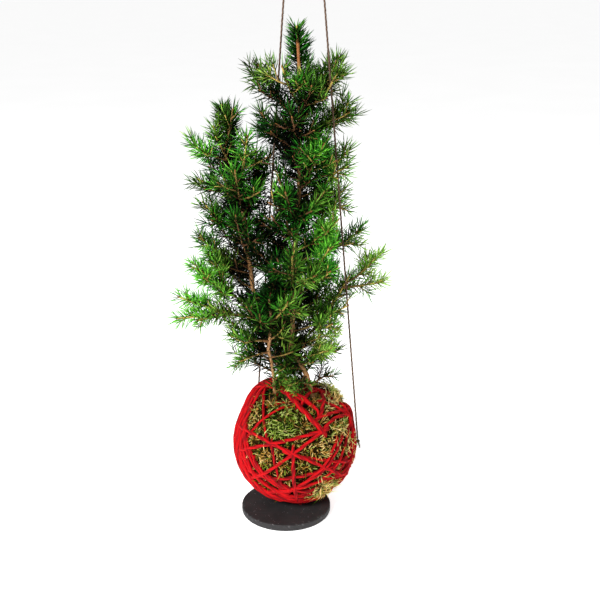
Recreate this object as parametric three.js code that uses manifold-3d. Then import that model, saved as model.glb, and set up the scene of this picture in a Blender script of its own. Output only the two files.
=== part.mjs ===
// A kokedama: a ball of soil wrapped in moss and wound with red yarn, planted with three young
// spruces. It rests on a small round plate, and two jute strings rise from its sides.
// Millimetres, +Z up. The origin is the middle of the plate's underside.
import * as THREE from "three";
import { mergeVertices } from "three/addons/utils/BufferGeometryUtils.js";
import Module from "manifold-3d";

const wasm = await Module();
wasm.setup();

// Driving dimensions
const GAP = 0.3; // between pieces that touch
const PLATE = { radius: 45, thickness: 6.5, edge: 1, sides: 40 };
const BALL = new THREE.Vector3(9, 22, 64.8); // the ball's centre
const SOIL_RADIUS = 49;
const MOSS = { radius: 55.8, relief: 0.5 };
const OPENING = { x: -1, y: 3, halfLength: 28, halfWidth: 20 }; // in the moss, from the ball's axis
const YARN = { radius: 2, layers: [59.6, 61.8], steps: 20, sides: 4 };
const STRING = { radius: 1, sides: 8, steps: 12, hook: new THREE.Vector3(16, 22, 725), top: 508 };
const KNOT = { radius: 2.4, tail: 9, tailBase: 0.9, tailTip: 0.4 };
const EYE_RADIUS = 9;
const NEEDLE = { length: 13.8, slant: 55, halfWidth: 0.95 }; // slant from the twig, in degrees
const WHORL = { spacing: 17, band: 1.3, turn: 30 }; // six needles leave the twig in each band
const BRANCH = { base: 1.5, tip: 0.95, bare: 14 }; // radii, and the length without needles
const TWIG = { base: 1.15, tip: 0.75, bare: 12, angle: 48, shortest: 12, first: 0.36, span: 0.46 };

// Stems: points from the root up, x y z, with the radius at the root and at the top.
const STEMS = {
  centre: {
    root: 3,
    top: 1.1,
    points: [
      [32, 25, 92],
      [25, 23, 120],
      [20, 22, 140],
      [13, 20, 152],
      [5, 18, 166],
      [6, 17, 183],
      [7, 17, 203],
      [7, 18, 227],
      [8, 20, 248],
      [10, 22, 278],
      [13, 24, 316],
      [14, 25, 354],
      [14, 25, 391],
      [14, 24, 426],
      [12, 23, 463],
    ],
  },
  left: {
    root: 2.5,
    top: 1.1,
    points: [
      [5, 33, 90],
      [-1, 33, 115],
      [-7, 33, 140],
      [-11, 34, 166],
      [-15, 34, 182],
      [-24, 35, 203],
      [-32, 35, 223],
      [-35, 35, 250],
      [-38, 35, 277],
      [-41, 33, 309],
      [-44, 31, 339],
      [-49, 29, 368],
      [-55, 27, 394],
    ],
  },
  front: {
    root: 1.9,
    top: 1,
    points: [
      [-9.5, 21.6, 92],
      [-11, 17, 121],
      [-12, 14, 140],
      [-14, 11, 158],
      [-17, 8, 171],
      [-15, 7, 184],
      [-14, 6, 202],
      [-15, 4, 225],
      [-13, 4, 232],
    ],
  },
};

// Branches of each stem, from the top down. A row holds the height where it leaves the stem, its
// heading in degrees from +X, its reach and rise, the number of side twigs (below 0 where the first
// is on the right), and its forks: how far along, heading, reach, rise and side twigs.
const BRANCHES = {
  centre: [
    [406, -115, 34, 35, 2, []],
    [399, 40, 33, 39, 1, [[0.3, 93, 43, 28, 0]]],
    [399, -75, 36, 26, 1, []],
    [392, 172, 35, 46, 1, [[0.7, 130, 24, 6, 0]]],
    [391, 14, 33, 53, 2, [[0.3, -35, 21, 25, 0]]],
    [373, 12, 43, 32, 2, [[0.3, 42, 36, 8, 0]]],
    [371, -98, 47, 29, 2, []],
    [362, -162, 35, 37, 1, [[0.3, 137, 33, 9, 0]]],
    [345, 122, 39, 16, 0, [[0.3, 88, 49, 30, 0]]],
    [335, -61, 42, 39, 2, []],
    [335, 78, 63, 27, 2, []],
    [330, 8, 45, 32, 1, [[0.3, -27, 30, 12, -1]]],
    [302, 70, 73, 9, 2, [[0.3, 113, 53, -4, 1]]],
    [296, 28, 49, 25, 1, [[0.3, -8, 29, 8, 0]]],
    [295, -99, 60, 41, 2, []],
    [281, -122, 38, 27, 1, []],
    [268, -30, 43, 34, 2, []],
    [256, 14, 65, 27, 2, []],
    [244, 74, 88, 14, 2, [[0.3, 119, 55, -6, 1]]],
    [231, -90, 58, 47, 2, []],
    [226, -47, 46, 53, 1, [[0.3, -59, 40, 21, 0]]],
    [206, 39, 45, 13, 1, []],
    [188, 70, 80, 0, 2, []],
    [168, 10, 54, 70, 3, [[0.3, -62, 33, 14, 0], [0.9, 16, 34, 26, 1], [0.85, -2, 38, 6, 0]]],
    [157, 24, 41, 1, 1, []],
    [137, -110, 47, 10, 1, []],
  ],
  left: [
    [342, -127, 29, 43, 0, [[0.3, -162, 33, 16, 1], [0.5, -27, 11, 38, 0]]],
    [334, -76, 41, 46, 1, []],
    [324, 113, 50, 30, 2, []],
    [318, 169, 39, 14, 1, []],
    [306, -93, 53, 46, 2, []],
    [299, 44, 32, 52, 1, []],
    [286, 107, 56, 22, 2, [[0.3, 37, 25, 14, 0]]],
    [280, -173, 37, 31, 1, [[0.3, -125, 25, 16, 0]]],
    [258, -102, 40, 48, 1, []],
    [246, 167, 48, 26, 2, []],
    [234, 118, 64, 2, 2, []],
    [206, -155, 64, 52, 3, [[0.3, -165, 20, 38, 0]]],
    [193, -173, 81, 26, 2, [[0.3, -178, 59, -3, 1]]],
    [191, 96, 62, 2, 1, []],
  ],
  front: [
    [202, -60, 30, 26, 1, []],
    [194, -134, 28, 27, 1, []],
    [180, -163, 38, 10, 1, [[0.3, 156, 24, 13, 0]]],
    [168, 177, 28, -11, 1, []],
  ],
};

// Leaders: the shoots on the stems' tops, as heading, reach, rise and side twigs.
const LEADERS = {
  centre: [180, 1, 12, 0],
  left: [-158, 3, 11, 0],
  front: [-39, 9, 20, 0],
};

// Turns of the yarn: each lies in a plane, given by the heading and elevation of the plane's normal
// and the plane's distance from the ball's centre. The first one carries the string's ties.
const YARN_TURNS = [
  [-90, 26, 0],
  [-70, 34, 12],
  [35, 17.5, 7],
  [38, 57, -7],
  [-174, 48, 18],
  [-8, 1, 5.5],
  [128, 65, -28],
  [150, 12, 8],
];
const TIE_ANGLES = { left: 126, right: 0 }; // along the first turn

const COLOURS = {
  plate: 0x2b2c2e,
  soil: 0x3a2a1e,
  moss: 0x8a8c3a,
  yarn: 0xb01822,
  jute: 0x9a7b58,
  bark: 0xa8774f,
  needles: 0x2f6b2a,
  freshNeedles: 0x5aa52e,
};

// Small helpers

const radians = THREE.MathUtils.degToRad;
const lerp = THREE.MathUtils.lerp;
const UP = new THREE.Vector3(0, 0, 1);
const SIDE = new THREE.Vector3(1, 0, 0);

function direction(heading, elevation) {
  const flat = Math.cos(radians(elevation));
  return new THREE.Vector3(
    flat * Math.cos(radians(heading)),
    flat * Math.sin(radians(heading)),
    Math.sin(radians(elevation)),
  );
}

// Two directions square to an axis and to each other, the first one square to the reference too.
function crossAxes(axis, reference = axis.angleTo(UP) > 0.05 ? UP : SIDE) {
  const first = new THREE.Vector3().crossVectors(reference, axis).normalize();
  return [first, new THREE.Vector3().crossVectors(axis, first).normalize()];
}

function around(centre, axes, radius, angle) {
  return centre
    .clone()
    .addScaledVector(axes[0], radius * Math.cos(angle))
    .addScaledVector(axes[1], radius * Math.sin(angle));
}

function solidOf(geometry) {
  const bare = geometry.index ? geometry.toNonIndexed() : geometry.clone();
  bare.deleteAttribute("normal");
  bare.deleteAttribute("uv");
  const merged = mergeVertices(bare, 1e-4);
  return new wasm.Manifold(
    new wasm.Mesh({
      numProp: 3,
      vertProperties: merged.attributes.position.array,
      triVerts: new Uint32Array(merged.index.array),
    }),
  );
}

function geometryOf(solid) {
  const mesh = solid.getMesh();
  const geometry = new THREE.BufferGeometry();
  geometry.setAttribute("position", new THREE.BufferAttribute(mesh.vertProperties, 3));
  geometry.setIndex(new THREE.BufferAttribute(mesh.triVerts, 1));
  return geometry;
}

function join(geometries) {
  return geometryOf(wasm.Manifold.union(geometries.map(solidOf)));
}

function geometryFrom(triangles) {
  return new THREE.BufferGeometry().setFromPoints(triangles.flat());
}

// The wall between two rings of points, seen counter-clockwise from the end that they lead to.
function band(from, to) {
  return from.flatMap((point, i) => {
    const next = (i + 1) % from.length;
    return [
      [point, from[next], to[i]],
      [from[next], to[next], to[i]],
    ];
  });
}

// The faces that close a ring with a point.
function cone(ring, apex) {
  return ring.map((point, i) => [point, ring[(i + 1) % ring.length], apex]);
}

function reversed(triangles) {
  return triangles.map(([a, b, c]) => [a, c, b]);
}

function middle(points) {
  const sum = new THREE.Vector3();
  points.forEach((point) => sum.add(point));
  return sum.divideScalar(points.length);
}

function finish(geometry, colour, roughness) {
  geometry.computeVertexNormals();
  const material = new THREE.MeshStandardMaterial({
    color: colour,
    roughness,
    metalness: 0,
    flatShading: true,
  });
  return new THREE.Mesh(geometry, material);
}

function named(name, mesh) {
  mesh.name = name;
  return mesh;
}

// Plate

function plate() {
  const { radius, thickness, edge, sides } = PLATE;
  const profile = [
    [0, 0],
    [radius - edge, 0],
    [radius, edge],
    [radius, thickness - edge],
    [radius - edge, thickness],
    [0, thickness],
  ];
  const geometry = new THREE.LatheGeometry(
    profile.map(([r, z]) => new THREE.Vector2(r, z)),
    sides,
  );
  geometry.rotateX(Math.PI / 2);
  return finish(geometry, COLOURS.plate, 0.8);
}

// Ball: soil, moss and yarn, round the ball's centre

const BALL_AROUND = 24;
const BALL_DOWN = 9;
const CAP_STEPS = 3;
const MOSS_DOWN = 13;
const CRUMBLY = 0.945; // the bare soil's surface is uneven where its direction is steeper than this
const YARN_FLOOR = PLATE.thickness + GAP + YARN.radius - BALL.z; // the lowest middle of a strand
const MOSS_FLOOR = YARN_FLOOR + YARN.radius + GAP;

// From the opening's rim (0) to the pole below it (1), or above it.
function fromRim(angle, part, pole) {
  const rim = new THREE.Vector3(
    OPENING.x + OPENING.halfLength * Math.cos(angle),
    OPENING.y + OPENING.halfWidth * Math.sin(angle),
    0,
  );
  rim.z = Math.sqrt(SOIL_RADIUS ** 2 - rim.x ** 2 - rim.y ** 2);
  rim.normalize();
  const square = pole.clone().addScaledVector(rim, -pole.dot(rim)).normalize();
  const swing = rim.angleTo(pole) * part;
  return rim.multiplyScalar(Math.cos(swing)).addScaledVector(square, Math.sin(swing));
}

function ballRing(part, pole, radiusAt) {
  return Array.from({ length: BALL_AROUND }, (_, i) => {
    const way = fromRim((2 * Math.PI * i) / BALL_AROUND, part, pole);
    return way.multiplyScalar(radiusAt(way));
  });
}

// Rings from the rim to the pole, and the pole itself.
function ballSkin(steps, pole, radiusAt) {
  const rings = Array.from({ length: steps }, (_, k) => ballRing(k / steps, pole, radiusAt));
  const end = pole.clone().multiplyScalar(radiusAt(pole));
  const walls = rings.slice(1).flatMap((ring, k) => band(rings[k], ring));
  const faces = [...walls, ...cone(rings.at(-1), end)];
  return pole.z > 0 ? faces : reversed(faces);
}

function lump(way, fine) {
  return (
    Math.sin(fine * way.x + 2 * way.y) * Math.cos(fine * way.y - 3 * way.z) +
    0.6 * Math.sin(2.3 * fine * way.z + fine * way.x)
  );
}

function soilBall() {
  const down = new THREE.Vector3(0, 0, -1);
  const crumbs = (way) => SOIL_RADIUS + (way.z > CRUMBLY ? 0.5 * lump(way, 19) : 0);
  const below = ballSkin(BALL_DOWN, down, () => SOIL_RADIUS);
  const above = ballSkin(CAP_STEPS, UP, crumbs);
  const whole = solidOf(geometryFrom([...below, ...above]));
  const holes = Object.values(STEMS).map(({ root, points }) => {
    const [low, high] = points.map((p) => new THREE.Vector3(...p).sub(BALL));
    const length = low.distanceTo(high);
    const hole = new THREE.CylinderGeometry(root + 2 * GAP, root + 2 * GAP, length + GAP, 10);
    hole.applyQuaternion(
      new THREE.Quaternion().setFromUnitVectors(
        new THREE.Vector3(0, 1, 0),
        high.clone().sub(low).normalize(),
      ),
    );
    const centre = middle([low, high]).addScaledVector(low.clone().sub(high).normalize(), GAP / 2);
    hole.translate(centre.x, centre.y, centre.z);
    return solidOf(hole);
  });
  const bored = holes.reduce((rest, hole) => rest.subtract(hole), whole);
  return finish(geometryOf(bored), COLOURS.soil, 0.95);
}

function mossCover() {
  const down = new THREE.Vector3(0, 0, -1);
  const inner = ballSkin(BALL_DOWN, down, () => SOIL_RADIUS + GAP);
  const outerRadius = (way) => {
    const radius = MOSS.radius + MOSS.relief * lump(way, 11);
    return way.z < 0 ? Math.min(radius, MOSS_FLOOR / way.z) : radius;
  };
  const outer = ballSkin(MOSS_DOWN, down, outerRadius);
  const rimIn = ballRing(0, down, () => SOIL_RADIUS + GAP);
  const rimOut = ballRing(0, down, outerRadius);
  const faces = [...outer, ...reversed(inner), ...band(rimOut, rimIn)];
  return finish(geometryFrom(faces), COLOURS.moss, 0.95);
}

// One turn of yarn, flattened where the ball rests on the plate.
function yarnTurn([heading, elevation, offset], layer) {
  const normal = direction(heading, elevation);
  const centre = normal.clone().multiplyScalar(offset);
  const axes = crossAxes(normal);
  const radius = Math.sqrt(YARN.layers[layer] ** 2 - offset ** 2);
  const rings = Array.from({ length: YARN.steps }, (_, i) => {
    const at = around(centre, axes, radius, (2 * Math.PI * i) / YARN.steps);
    const section = [normal, at.clone().normalize()];
    at.z = Math.max(at.z, YARN_FLOOR);
    return Array.from({ length: YARN.sides }, (_, k) =>
      around(at, section, YARN.radius, (2 * Math.PI * k) / YARN.sides),
    );
  });
  const faces = rings.flatMap((ring, i) => band(ring, rings[(i + 1) % rings.length]));
  return geometryFrom(faces);
}

function yarn() {
  const turns = YARN_TURNS.map((turn, i) => yarnTurn(turn, i % YARN.layers.length));
  return finish(join(turns), COLOURS.yarn, 0.9);
}

// Strings, each from its tie on the yarn straight towards one hook, and ending in a small eye

function tiePlace(side) {
  const [heading, elevation] = YARN_TURNS[0];
  const out = YARN.layers[0] + YARN.radius + GAP + KNOT.radius;
  const axes = crossAxes(direction(heading, elevation));
  return around(BALL, axes, out, radians(TIE_ANGLES[side]));
}

function stringLine(side) {
  const tie = tiePlace(side);
  const way = STRING.hook.clone().sub(tie).normalize();
  const start = tie.clone().addScaledVector(way, KNOT.radius + GAP);
  const end = tie.clone().addScaledVector(way, (STRING.top - tie.z) / way.z);
  return { tie, way, start, end };
}

function tie(side) {
  const { tie: place, way } = stringLine(side);
  const knot = new THREE.IcosahedronGeometry(KNOT.radius, 1);
  const tail = new THREE.CylinderGeometry(KNOT.tailTip, KNOT.tailBase, KNOT.tail, 6);
  tail.translate(0, KNOT.tail / 2, 0);
  const out = place.clone().sub(BALL).normalize();
  const drop = way.clone().negate().lerp(out, 0.45).normalize();
  tail.applyQuaternion(new THREE.Quaternion().setFromUnitVectors(new THREE.Vector3(0, 1, 0), drop));
  const mesh = finish(join([knot, tail]), COLOURS.jute, 0.9);
  mesh.position.copy(place);
  return mesh;
}

function string(side) {
  const { start, end } = stringLine(side);
  const corners = Array.from({ length: STRING.sides }, (_, i) => {
    const angle = (2 * Math.PI * i) / STRING.sides;
    return new THREE.Vector2(Math.cos(angle), Math.sin(angle)).multiplyScalar(STRING.radius);
  });
  const geometry = new THREE.ExtrudeGeometry(new THREE.Shape(corners), {
    steps: STRING.steps,
    extrudePath: new THREE.LineCurve3(start, end),
  });
  return finish(geometry, COLOURS.jute, 0.9);
}

function eye(side) {
  const { way, end } = stringLine(side);
  const knot = new THREE.IcosahedronGeometry(KNOT.radius, 1);
  const loop = new THREE.TorusGeometry(EYE_RADIUS, STRING.radius, 5, 12);
  loop.rotateX(Math.PI / 2);
  loop.translate(0, 0, EYE_RADIUS + STRING.radius);
  const mesh = finish(join([knot, loop]), COLOURS.jute, 0.9);
  mesh.position.copy(end).addScaledVector(way, KNOT.radius + GAP);
  mesh.quaternion.setFromUnitVectors(UP, way);
  return mesh;
}

// Stems

function stemPoints(name) {
  return STEMS[name].points.map((point) => new THREE.Vector3(...point));
}

function stemRadius(name, height) {
  const { root, top, points } = STEMS[name];
  const part = (height - points[0][2]) / (points.at(-1)[2] - points[0][2]);
  return lerp(root, top, part);
}

function onStem(name, height) {
  const points = stemPoints(name);
  const above = points.findIndex((point, i) => i > 0 && point.z >= height);
  const [low, high] = [points[above - 1], points[above]];
  return low.clone().lerp(high, (height - low.z) / (high.z - low.z));
}

function stem(name) {
  const points = stemPoints(name);
  const rings = points.map((point, i) => {
    const before = points[Math.max(i - 1, 0)];
    const after = points[Math.min(i + 1, points.length - 1)];
    const axes = crossAxes(after.clone().sub(before).normalize(), SIDE);
    const radius = stemRadius(name, point.z);
    return Array.from({ length: 6 }, (_, k) => around(point, axes, radius, (Math.PI * k) / 3));
  });
  const walls = rings.slice(1).flatMap((ring, i) => band(rings[i], ring));
  const foot = reversed(cone(rings[0], middle(rings[0])));
  const head = cone(rings.at(-1), middle(rings.at(-1)));
  return finish(geometryFrom([...walls, ...foot, ...head]), COLOURS.bark, 0.85);
}

// Sprays: a branch with its forks and side twigs, each a thin twig set with needles

// A twig's line leaves flat and curves upwards to its tip.
function twigCurve(start, heading, reach, rise) {
  const out = direction(heading, 0);
  const bend = start.clone().addScaledVector(out, reach / 2);
  bend.z += rise / 4;
  const tip = start.clone().addScaledVector(out, reach);
  tip.z += rise;
  return new THREE.QuadraticBezierCurve3(start, bend, tip);
}

function sideTwigs(curve, heading, count) {
  return Array.from({ length: Math.abs(count) }, (_, i) => {
    const part = TWIG.first + (TWIG.span * i) / Math.abs(count);
    const side = (i % 2 ? -1 : 1) * Math.sign(count);
    const length = TWIG.shortest + 0.3 * (1 - part) * curve.getLength();
    const climb = 0.1 + 0.5 * curve.getTangentAt(part).z;
    const start = curve.getPointAt(part);
    const turned = heading + side * TWIG.angle;
    return { curve: twigCurve(start, turned, length, length * climb), ...TWIG };
  });
}

// The place beside a stem where a branch that leaves it this way starts, clear of the bark.
function branchStart(name, height, way) {
  const along = onStem(name, height + 2).sub(onStem(name, height - 2)).normalize();
  const slant = Math.abs(way.dot(along));
  const square = way.clone().cross(along).length();
  const clear = (stemRadius(name, height) + GAP + BRANCH.base * slant) / square;
  return onStem(name, height).addScaledVector(way, clear);
}

function branchTwigs(name, [height, heading, reach, rise, count, forks]) {
  const way = twigCurve(new THREE.Vector3(), heading, reach, rise).getTangent(0);
  const start = branchStart(name, height, way);
  const main = twigCurve(start, heading, reach, rise);
  const arms = forks.map(([part, turned, out, up, more]) => {
    const curve = twigCurve(main.getPointAt(part), turned, out, up);
    return { curve, heading: turned, count: more };
  });
  return [{ curve: main, heading, count }, ...arms].flatMap((arm) => [
    { curve: arm.curve, ...BRANCH },
    ...sideTwigs(arm.curve, arm.heading, arm.count),
  ]);
}

function leaderTwigs(name) {
  const [heading, reach, rise, count] = LEADERS[name];
  const top = stemPoints(name).at(-1);
  const curve = twigCurve(top.clone().setZ(top.z + GAP + 0.5), heading, reach, rise);
  return [
    { curve, ...BRANCH, base: STEMS[name].top, bare: 1.5 },
    ...sideTwigs(curve, heading, count),
  ];
}

// Where the needles' bands sit along a twig, the last one at its tip.
function whorlPlaces({ curve, bare }) {
  const last = curve.getLength() - 1.5 * WHORL.band;
  const count = Math.max(1, Math.round((last - bare) / WHORL.spacing) + 1);
  const first = count > 1 ? bare : last;
  return Array.from({ length: count }, (_, i) =>
    count > 1 ? lerp(first, last, i / (count - 1)) : last,
  );
}

// The shortest distance between two straight tapered pieces' axes, less their radii there.
function clearance(one, other) {
  const u = one.to.clone().sub(one.from);
  const v = other.to.clone().sub(other.from);
  const w = one.from.clone().sub(other.from);
  const [uu, uv, vv, uw, vw] = [u.dot(u), u.dot(v), v.dot(v), u.dot(w), v.dot(w)];
  const det = uu * vv - uv * uv;
  const within = (x) => THREE.MathUtils.clamp(x, 0, 1);
  let s = det > 1e-9 ? within((uv * vw - vv * uw) / det) : 0;
  const t = within((uv * s + vw) / vv);
  s = within((uv * t - uw) / uu);
  const gap = w.addScaledVector(u, s).addScaledVector(v, -t).length();
  return gap - lerp(one.thick, one.thin, s) - lerp(other.thick, other.thin, t);
}

function near(one, other) {
  const reach = one.from.distanceTo(one.to) + other.from.distanceTo(other.to) + 5;
  return one.from.distanceToSquared(other.from) < reach * reach;
}

// A twig as straight pieces.
function coreOf(twig, spray) {
  const steps = 6;
  return Array.from({ length: steps }, (_, i) => ({
    from: twig.curve.getPointAt(i / steps),
    to: twig.curve.getPointAt((i + 1) / steps),
    thick: twig.base,
    thin: twig.base,
    spray,
    twig,
  }));
}

function stemCore(name) {
  const points = stemPoints(name);
  return points.slice(1).map((point, i) => ({
    from: points[i],
    to: point,
    thick: stemRadius(name, points[i].z),
    thin: stemRadius(name, point.z),
  }));
}

function stringCore(side) {
  const { start, end } = stringLine(side);
  return { from: start, to: end, thick: STRING.radius, thin: STRING.radius };
}

// A needle is grown only where it stays clear of other sprays, stems and strings, and doesn't
// cross another twig of its own spray.
const OWN_CLEAR = 0.1;
const OTHER_CLEAR = 0.5;

function grows(needle, obstacles) {
  return obstacles.every((other) => {
    if (other.twig === needle.twig || !near(needle, other)) return true;
    const margin = other.spray === needle.spray ? OWN_CLEAR : OTHER_CLEAR;
    return clearance(needle, other) > margin;
  });
}

// The point of the needle that goes straight on from a twig's end, drawn in where others are near.
function endNeedle(twig, spray, obstacles) {
  const foot = twig.curve.getPointAt(1);
  const needles = [1, 0.8, 0.6, 0.4].map((share) => ({
    from: foot,
    to: foot.clone().addScaledVector(twig.curve.getTangentAt(1), share * NEEDLE.length),
    thick: twig.tip,
    thin: 0,
    spray,
    twig,
  }));
  const needle = needles.find((one) => grows(one, obstacles)) ?? needles.at(-1);
  obstacles.push(needle);
  return needle.to;
}

function needledTwig(twig, spray, obstacles) {
  const { curve, base, tip } = twig;
  const length = curve.getLength();
  let phase = 0;
  const ringAt = (place) => {
    const part = place / length;
    const axes = crossAxes(curve.getTangentAt(part));
    const radius = lerp(base, tip, part);
    return [0, 1, 2].map((k) =>
      around(curve.getPointAt(part), axes, radius, radians(phase + 120 * k)),
    );
  };
  const slanted = (foot, place, angle) => {
    const tangent = curve.getTangentAt(place / length);
    const out = around(new THREE.Vector3(), crossAxes(tangent), 1, radians(angle));
    return foot
      .clone()
      .addScaledVector(tangent, NEEDLE.length * Math.cos(radians(NEEDLE.slant)))
      .addScaledVector(out, NEEDLE.length * Math.sin(radians(NEEDLE.slant)));
  };
  const faces = [];
  let last = ringAt(0);
  faces.push([last[0], last[2], last[1]]);
  for (const place of whorlPlaces(twig)) {
    phase += WHORL.turn;
    const lower = ringAt(place);
    const upper = ringAt(place + WHORL.band);
    faces.push(...band(last, lower));
    band(lower, upper).forEach((face, i) => {
      const foot = middle(face);
      const apex = slanted(foot, place, phase + 30 + 60 * i);
      const needle = { from: foot, to: apex, thick: NEEDLE.halfWidth, thin: 0, spray, twig };
      const grown = grows(needle, obstacles);
      if (grown) obstacles.push(needle);
      faces.push(...(grown ? cone(face, apex) : [face]));
    });
    last = upper;
  }
  faces.push(...cone(last, twig.point));
  return geometryFrom(faces);
}

function sprays() {
  const all = Object.keys(STEMS).flatMap((name) => [
    { name: `leader_${name}`, twigs: leaderTwigs(name) },
    ...BRANCHES[name].map((row, i) => ({
      name: `spray_${name}_${String(i + 1).padStart(2, "0")}`,
      twigs: branchTwigs(name, row),
    })),
  ]);
  const obstacles = [
    ...Object.keys(STEMS).flatMap(stemCore),
    stringCore("left"),
    stringCore("right"),
    ...all.flatMap(({ name, twigs }) => twigs.flatMap((twig) => coreOf(twig, name))),
  ];
  for (const { name, twigs } of all) {
    for (const twig of twigs) twig.point = endNeedle(twig, name, obstacles);
  }
  return all.map(({ name, twigs }, i) => {
    const pieces = twigs.map((twig) => needledTwig(twig, name, obstacles));
    const colour = i % 3 ? COLOURS.needles : COLOURS.freshNeedles;
    return named(name, finish(join(pieces), colour, 0.7));
  });
}

// The whole plant

const ball = new THREE.Group();
ball.position.copy(BALL);
ball.add(
  named("soil_ball", soilBall()),
  named("moss_cover", mossCover()),
  named("yarn", yarn()),
);

const strings = new THREE.Group();
for (const side of ["left", "right"]) {
  strings.add(
    named(`tie_${side}`, tie(side)),
    named(`string_${side}`, string(side)),
    named(`eye_${side}`, eye(side)),
  );
}

const plants = new THREE.Group();
for (const name of Object.keys(STEMS)) plants.add(named(`stem_${name}`, stem(name)));
plants.add(...sprays());

const kokedama = new THREE.Group();
kokedama.add(named("plate", plate()), ball, strings, plants);

export default kokedama;
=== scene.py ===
"""A kokedama: a moss ball wound with red wool, planted with three young spruces, on a slate plate.

The file is laid out as a Blender add-on and run as a script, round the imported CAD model.
Tables and shapes are in millimetres, and Blender's objects in metres.
"""

import math

import bpy
import numpy as np
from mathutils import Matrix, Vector
from mathutils.kdtree import KDTree


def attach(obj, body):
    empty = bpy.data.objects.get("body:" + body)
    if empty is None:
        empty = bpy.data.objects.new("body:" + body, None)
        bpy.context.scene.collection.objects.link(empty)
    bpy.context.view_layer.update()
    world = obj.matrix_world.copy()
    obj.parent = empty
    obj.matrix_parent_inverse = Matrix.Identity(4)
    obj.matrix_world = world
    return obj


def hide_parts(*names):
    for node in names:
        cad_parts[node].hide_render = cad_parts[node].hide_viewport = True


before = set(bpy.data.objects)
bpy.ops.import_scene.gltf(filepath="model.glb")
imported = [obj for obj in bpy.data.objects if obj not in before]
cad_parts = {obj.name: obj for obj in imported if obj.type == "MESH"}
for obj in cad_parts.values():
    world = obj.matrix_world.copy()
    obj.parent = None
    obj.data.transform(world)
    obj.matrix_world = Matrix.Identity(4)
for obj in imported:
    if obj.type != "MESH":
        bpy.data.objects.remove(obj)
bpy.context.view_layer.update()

bl_info = {
    "name": "Kokedama",
    "version": (1, 0, 0),
    "blender": (4, 5, 0),
    "location": "3D View > Sidebar > Kokedama",
    "description": "Builds a moss ball with three young spruces round its CAD model",
    "category": "Add Mesh",
}

MM = 0.001
TURN = 2 * math.pi
GOLDEN_ANGLE = math.pi * (3 - math.sqrt(5))
UP = np.array([0.0, 0.0, 1.0])
SIDE = np.array([1.0, 0.0, 0.0])

# Values shared with the CAD model
GAP = 0.3
PLATE = {"radius": 45, "thickness": 6.5, "edge": 1.0}
BALL = np.array([9.0, 22.0, 64.8])
SOIL_RADIUS = 49
MOSS_RADIUS = 55.8
OPENING = {"x": -1, "y": 3, "half_length": 28, "half_width": 20}
YARN_RADIUS = 59.8
TIE_TURN = (-90, 26)
TIE_OUT = 64.3
TIE_ANGLES = {"left": 126, "right": 0}
HOOK = np.array([16.0, 22.0, 725.0])
STRING_TOP = 508
KNOT_RADIUS = 2.4
EYE_RADIUS = 9
BRANCH = {"base": 1.5, "tip": 0.95, "bare": 14}
TWIG = {"base": 1.15, "tip": 0.75, "bare": 12, "angle": 48, "shortest": 12, "first": 0.36, "span": 0.46}

# Each stem: the CAD stem's radius at its root and top, the drawn bark's, the height where its
# needles start, the lowest and highest of its short shoots with their number, their reach low
# down, halfway and high up, and the points that the stem runs through.
STEMS = {
    "centre": {
        "root": 3, "top": 1.1, "bark": [2.7, 1.5],
        "needled": 150, "shoots": [126, 398, 60], "spread": [17, 40, 18],
        "points": [
            [32, 25, 92], [25, 23, 120], [20, 22, 140], [13, 20, 152], [5, 18, 166], [6, 17, 183],
            [7, 17, 203], [7, 18, 227], [8, 20, 248], [10, 22, 278], [13, 24, 316], [14, 25, 354],
            [14, 25, 391], [14, 24, 426], [12, 23, 463],
        ],
    },
    "left": {
        "root": 2.5, "top": 1.1, "bark": [2.5, 1.4],
        "needled": 150, "shoots": [132, 345, 40], "spread": [15, 34, 16],
        "points": [
            [5, 33, 90], [-1, 33, 115], [-7, 33, 140], [-11, 34, 166], [-15, 34, 182], [-24, 35, 203],
            [-32, 35, 223], [-35, 35, 250], [-38, 35, 277], [-41, 33, 309], [-44, 31, 339],
            [-49, 29, 368], [-55, 27, 394],
        ],
    },
    "front": {
        "root": 1.9, "top": 1, "bark": [2.0, 1.3],
        "needled": 126, "shoots": [140, 205, 16], "spread": [20, 24, 14],
        "points": [
            [-9.5, 21.6, 92], [-11, 17, 121], [-12, 14, 140], [-14, 11, 158], [-17, 8, 171],
            [-15, 7, 184], [-14, 6, 202], [-15, 4, 225], [-13, 4, 232],
        ],
    },
}

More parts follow.
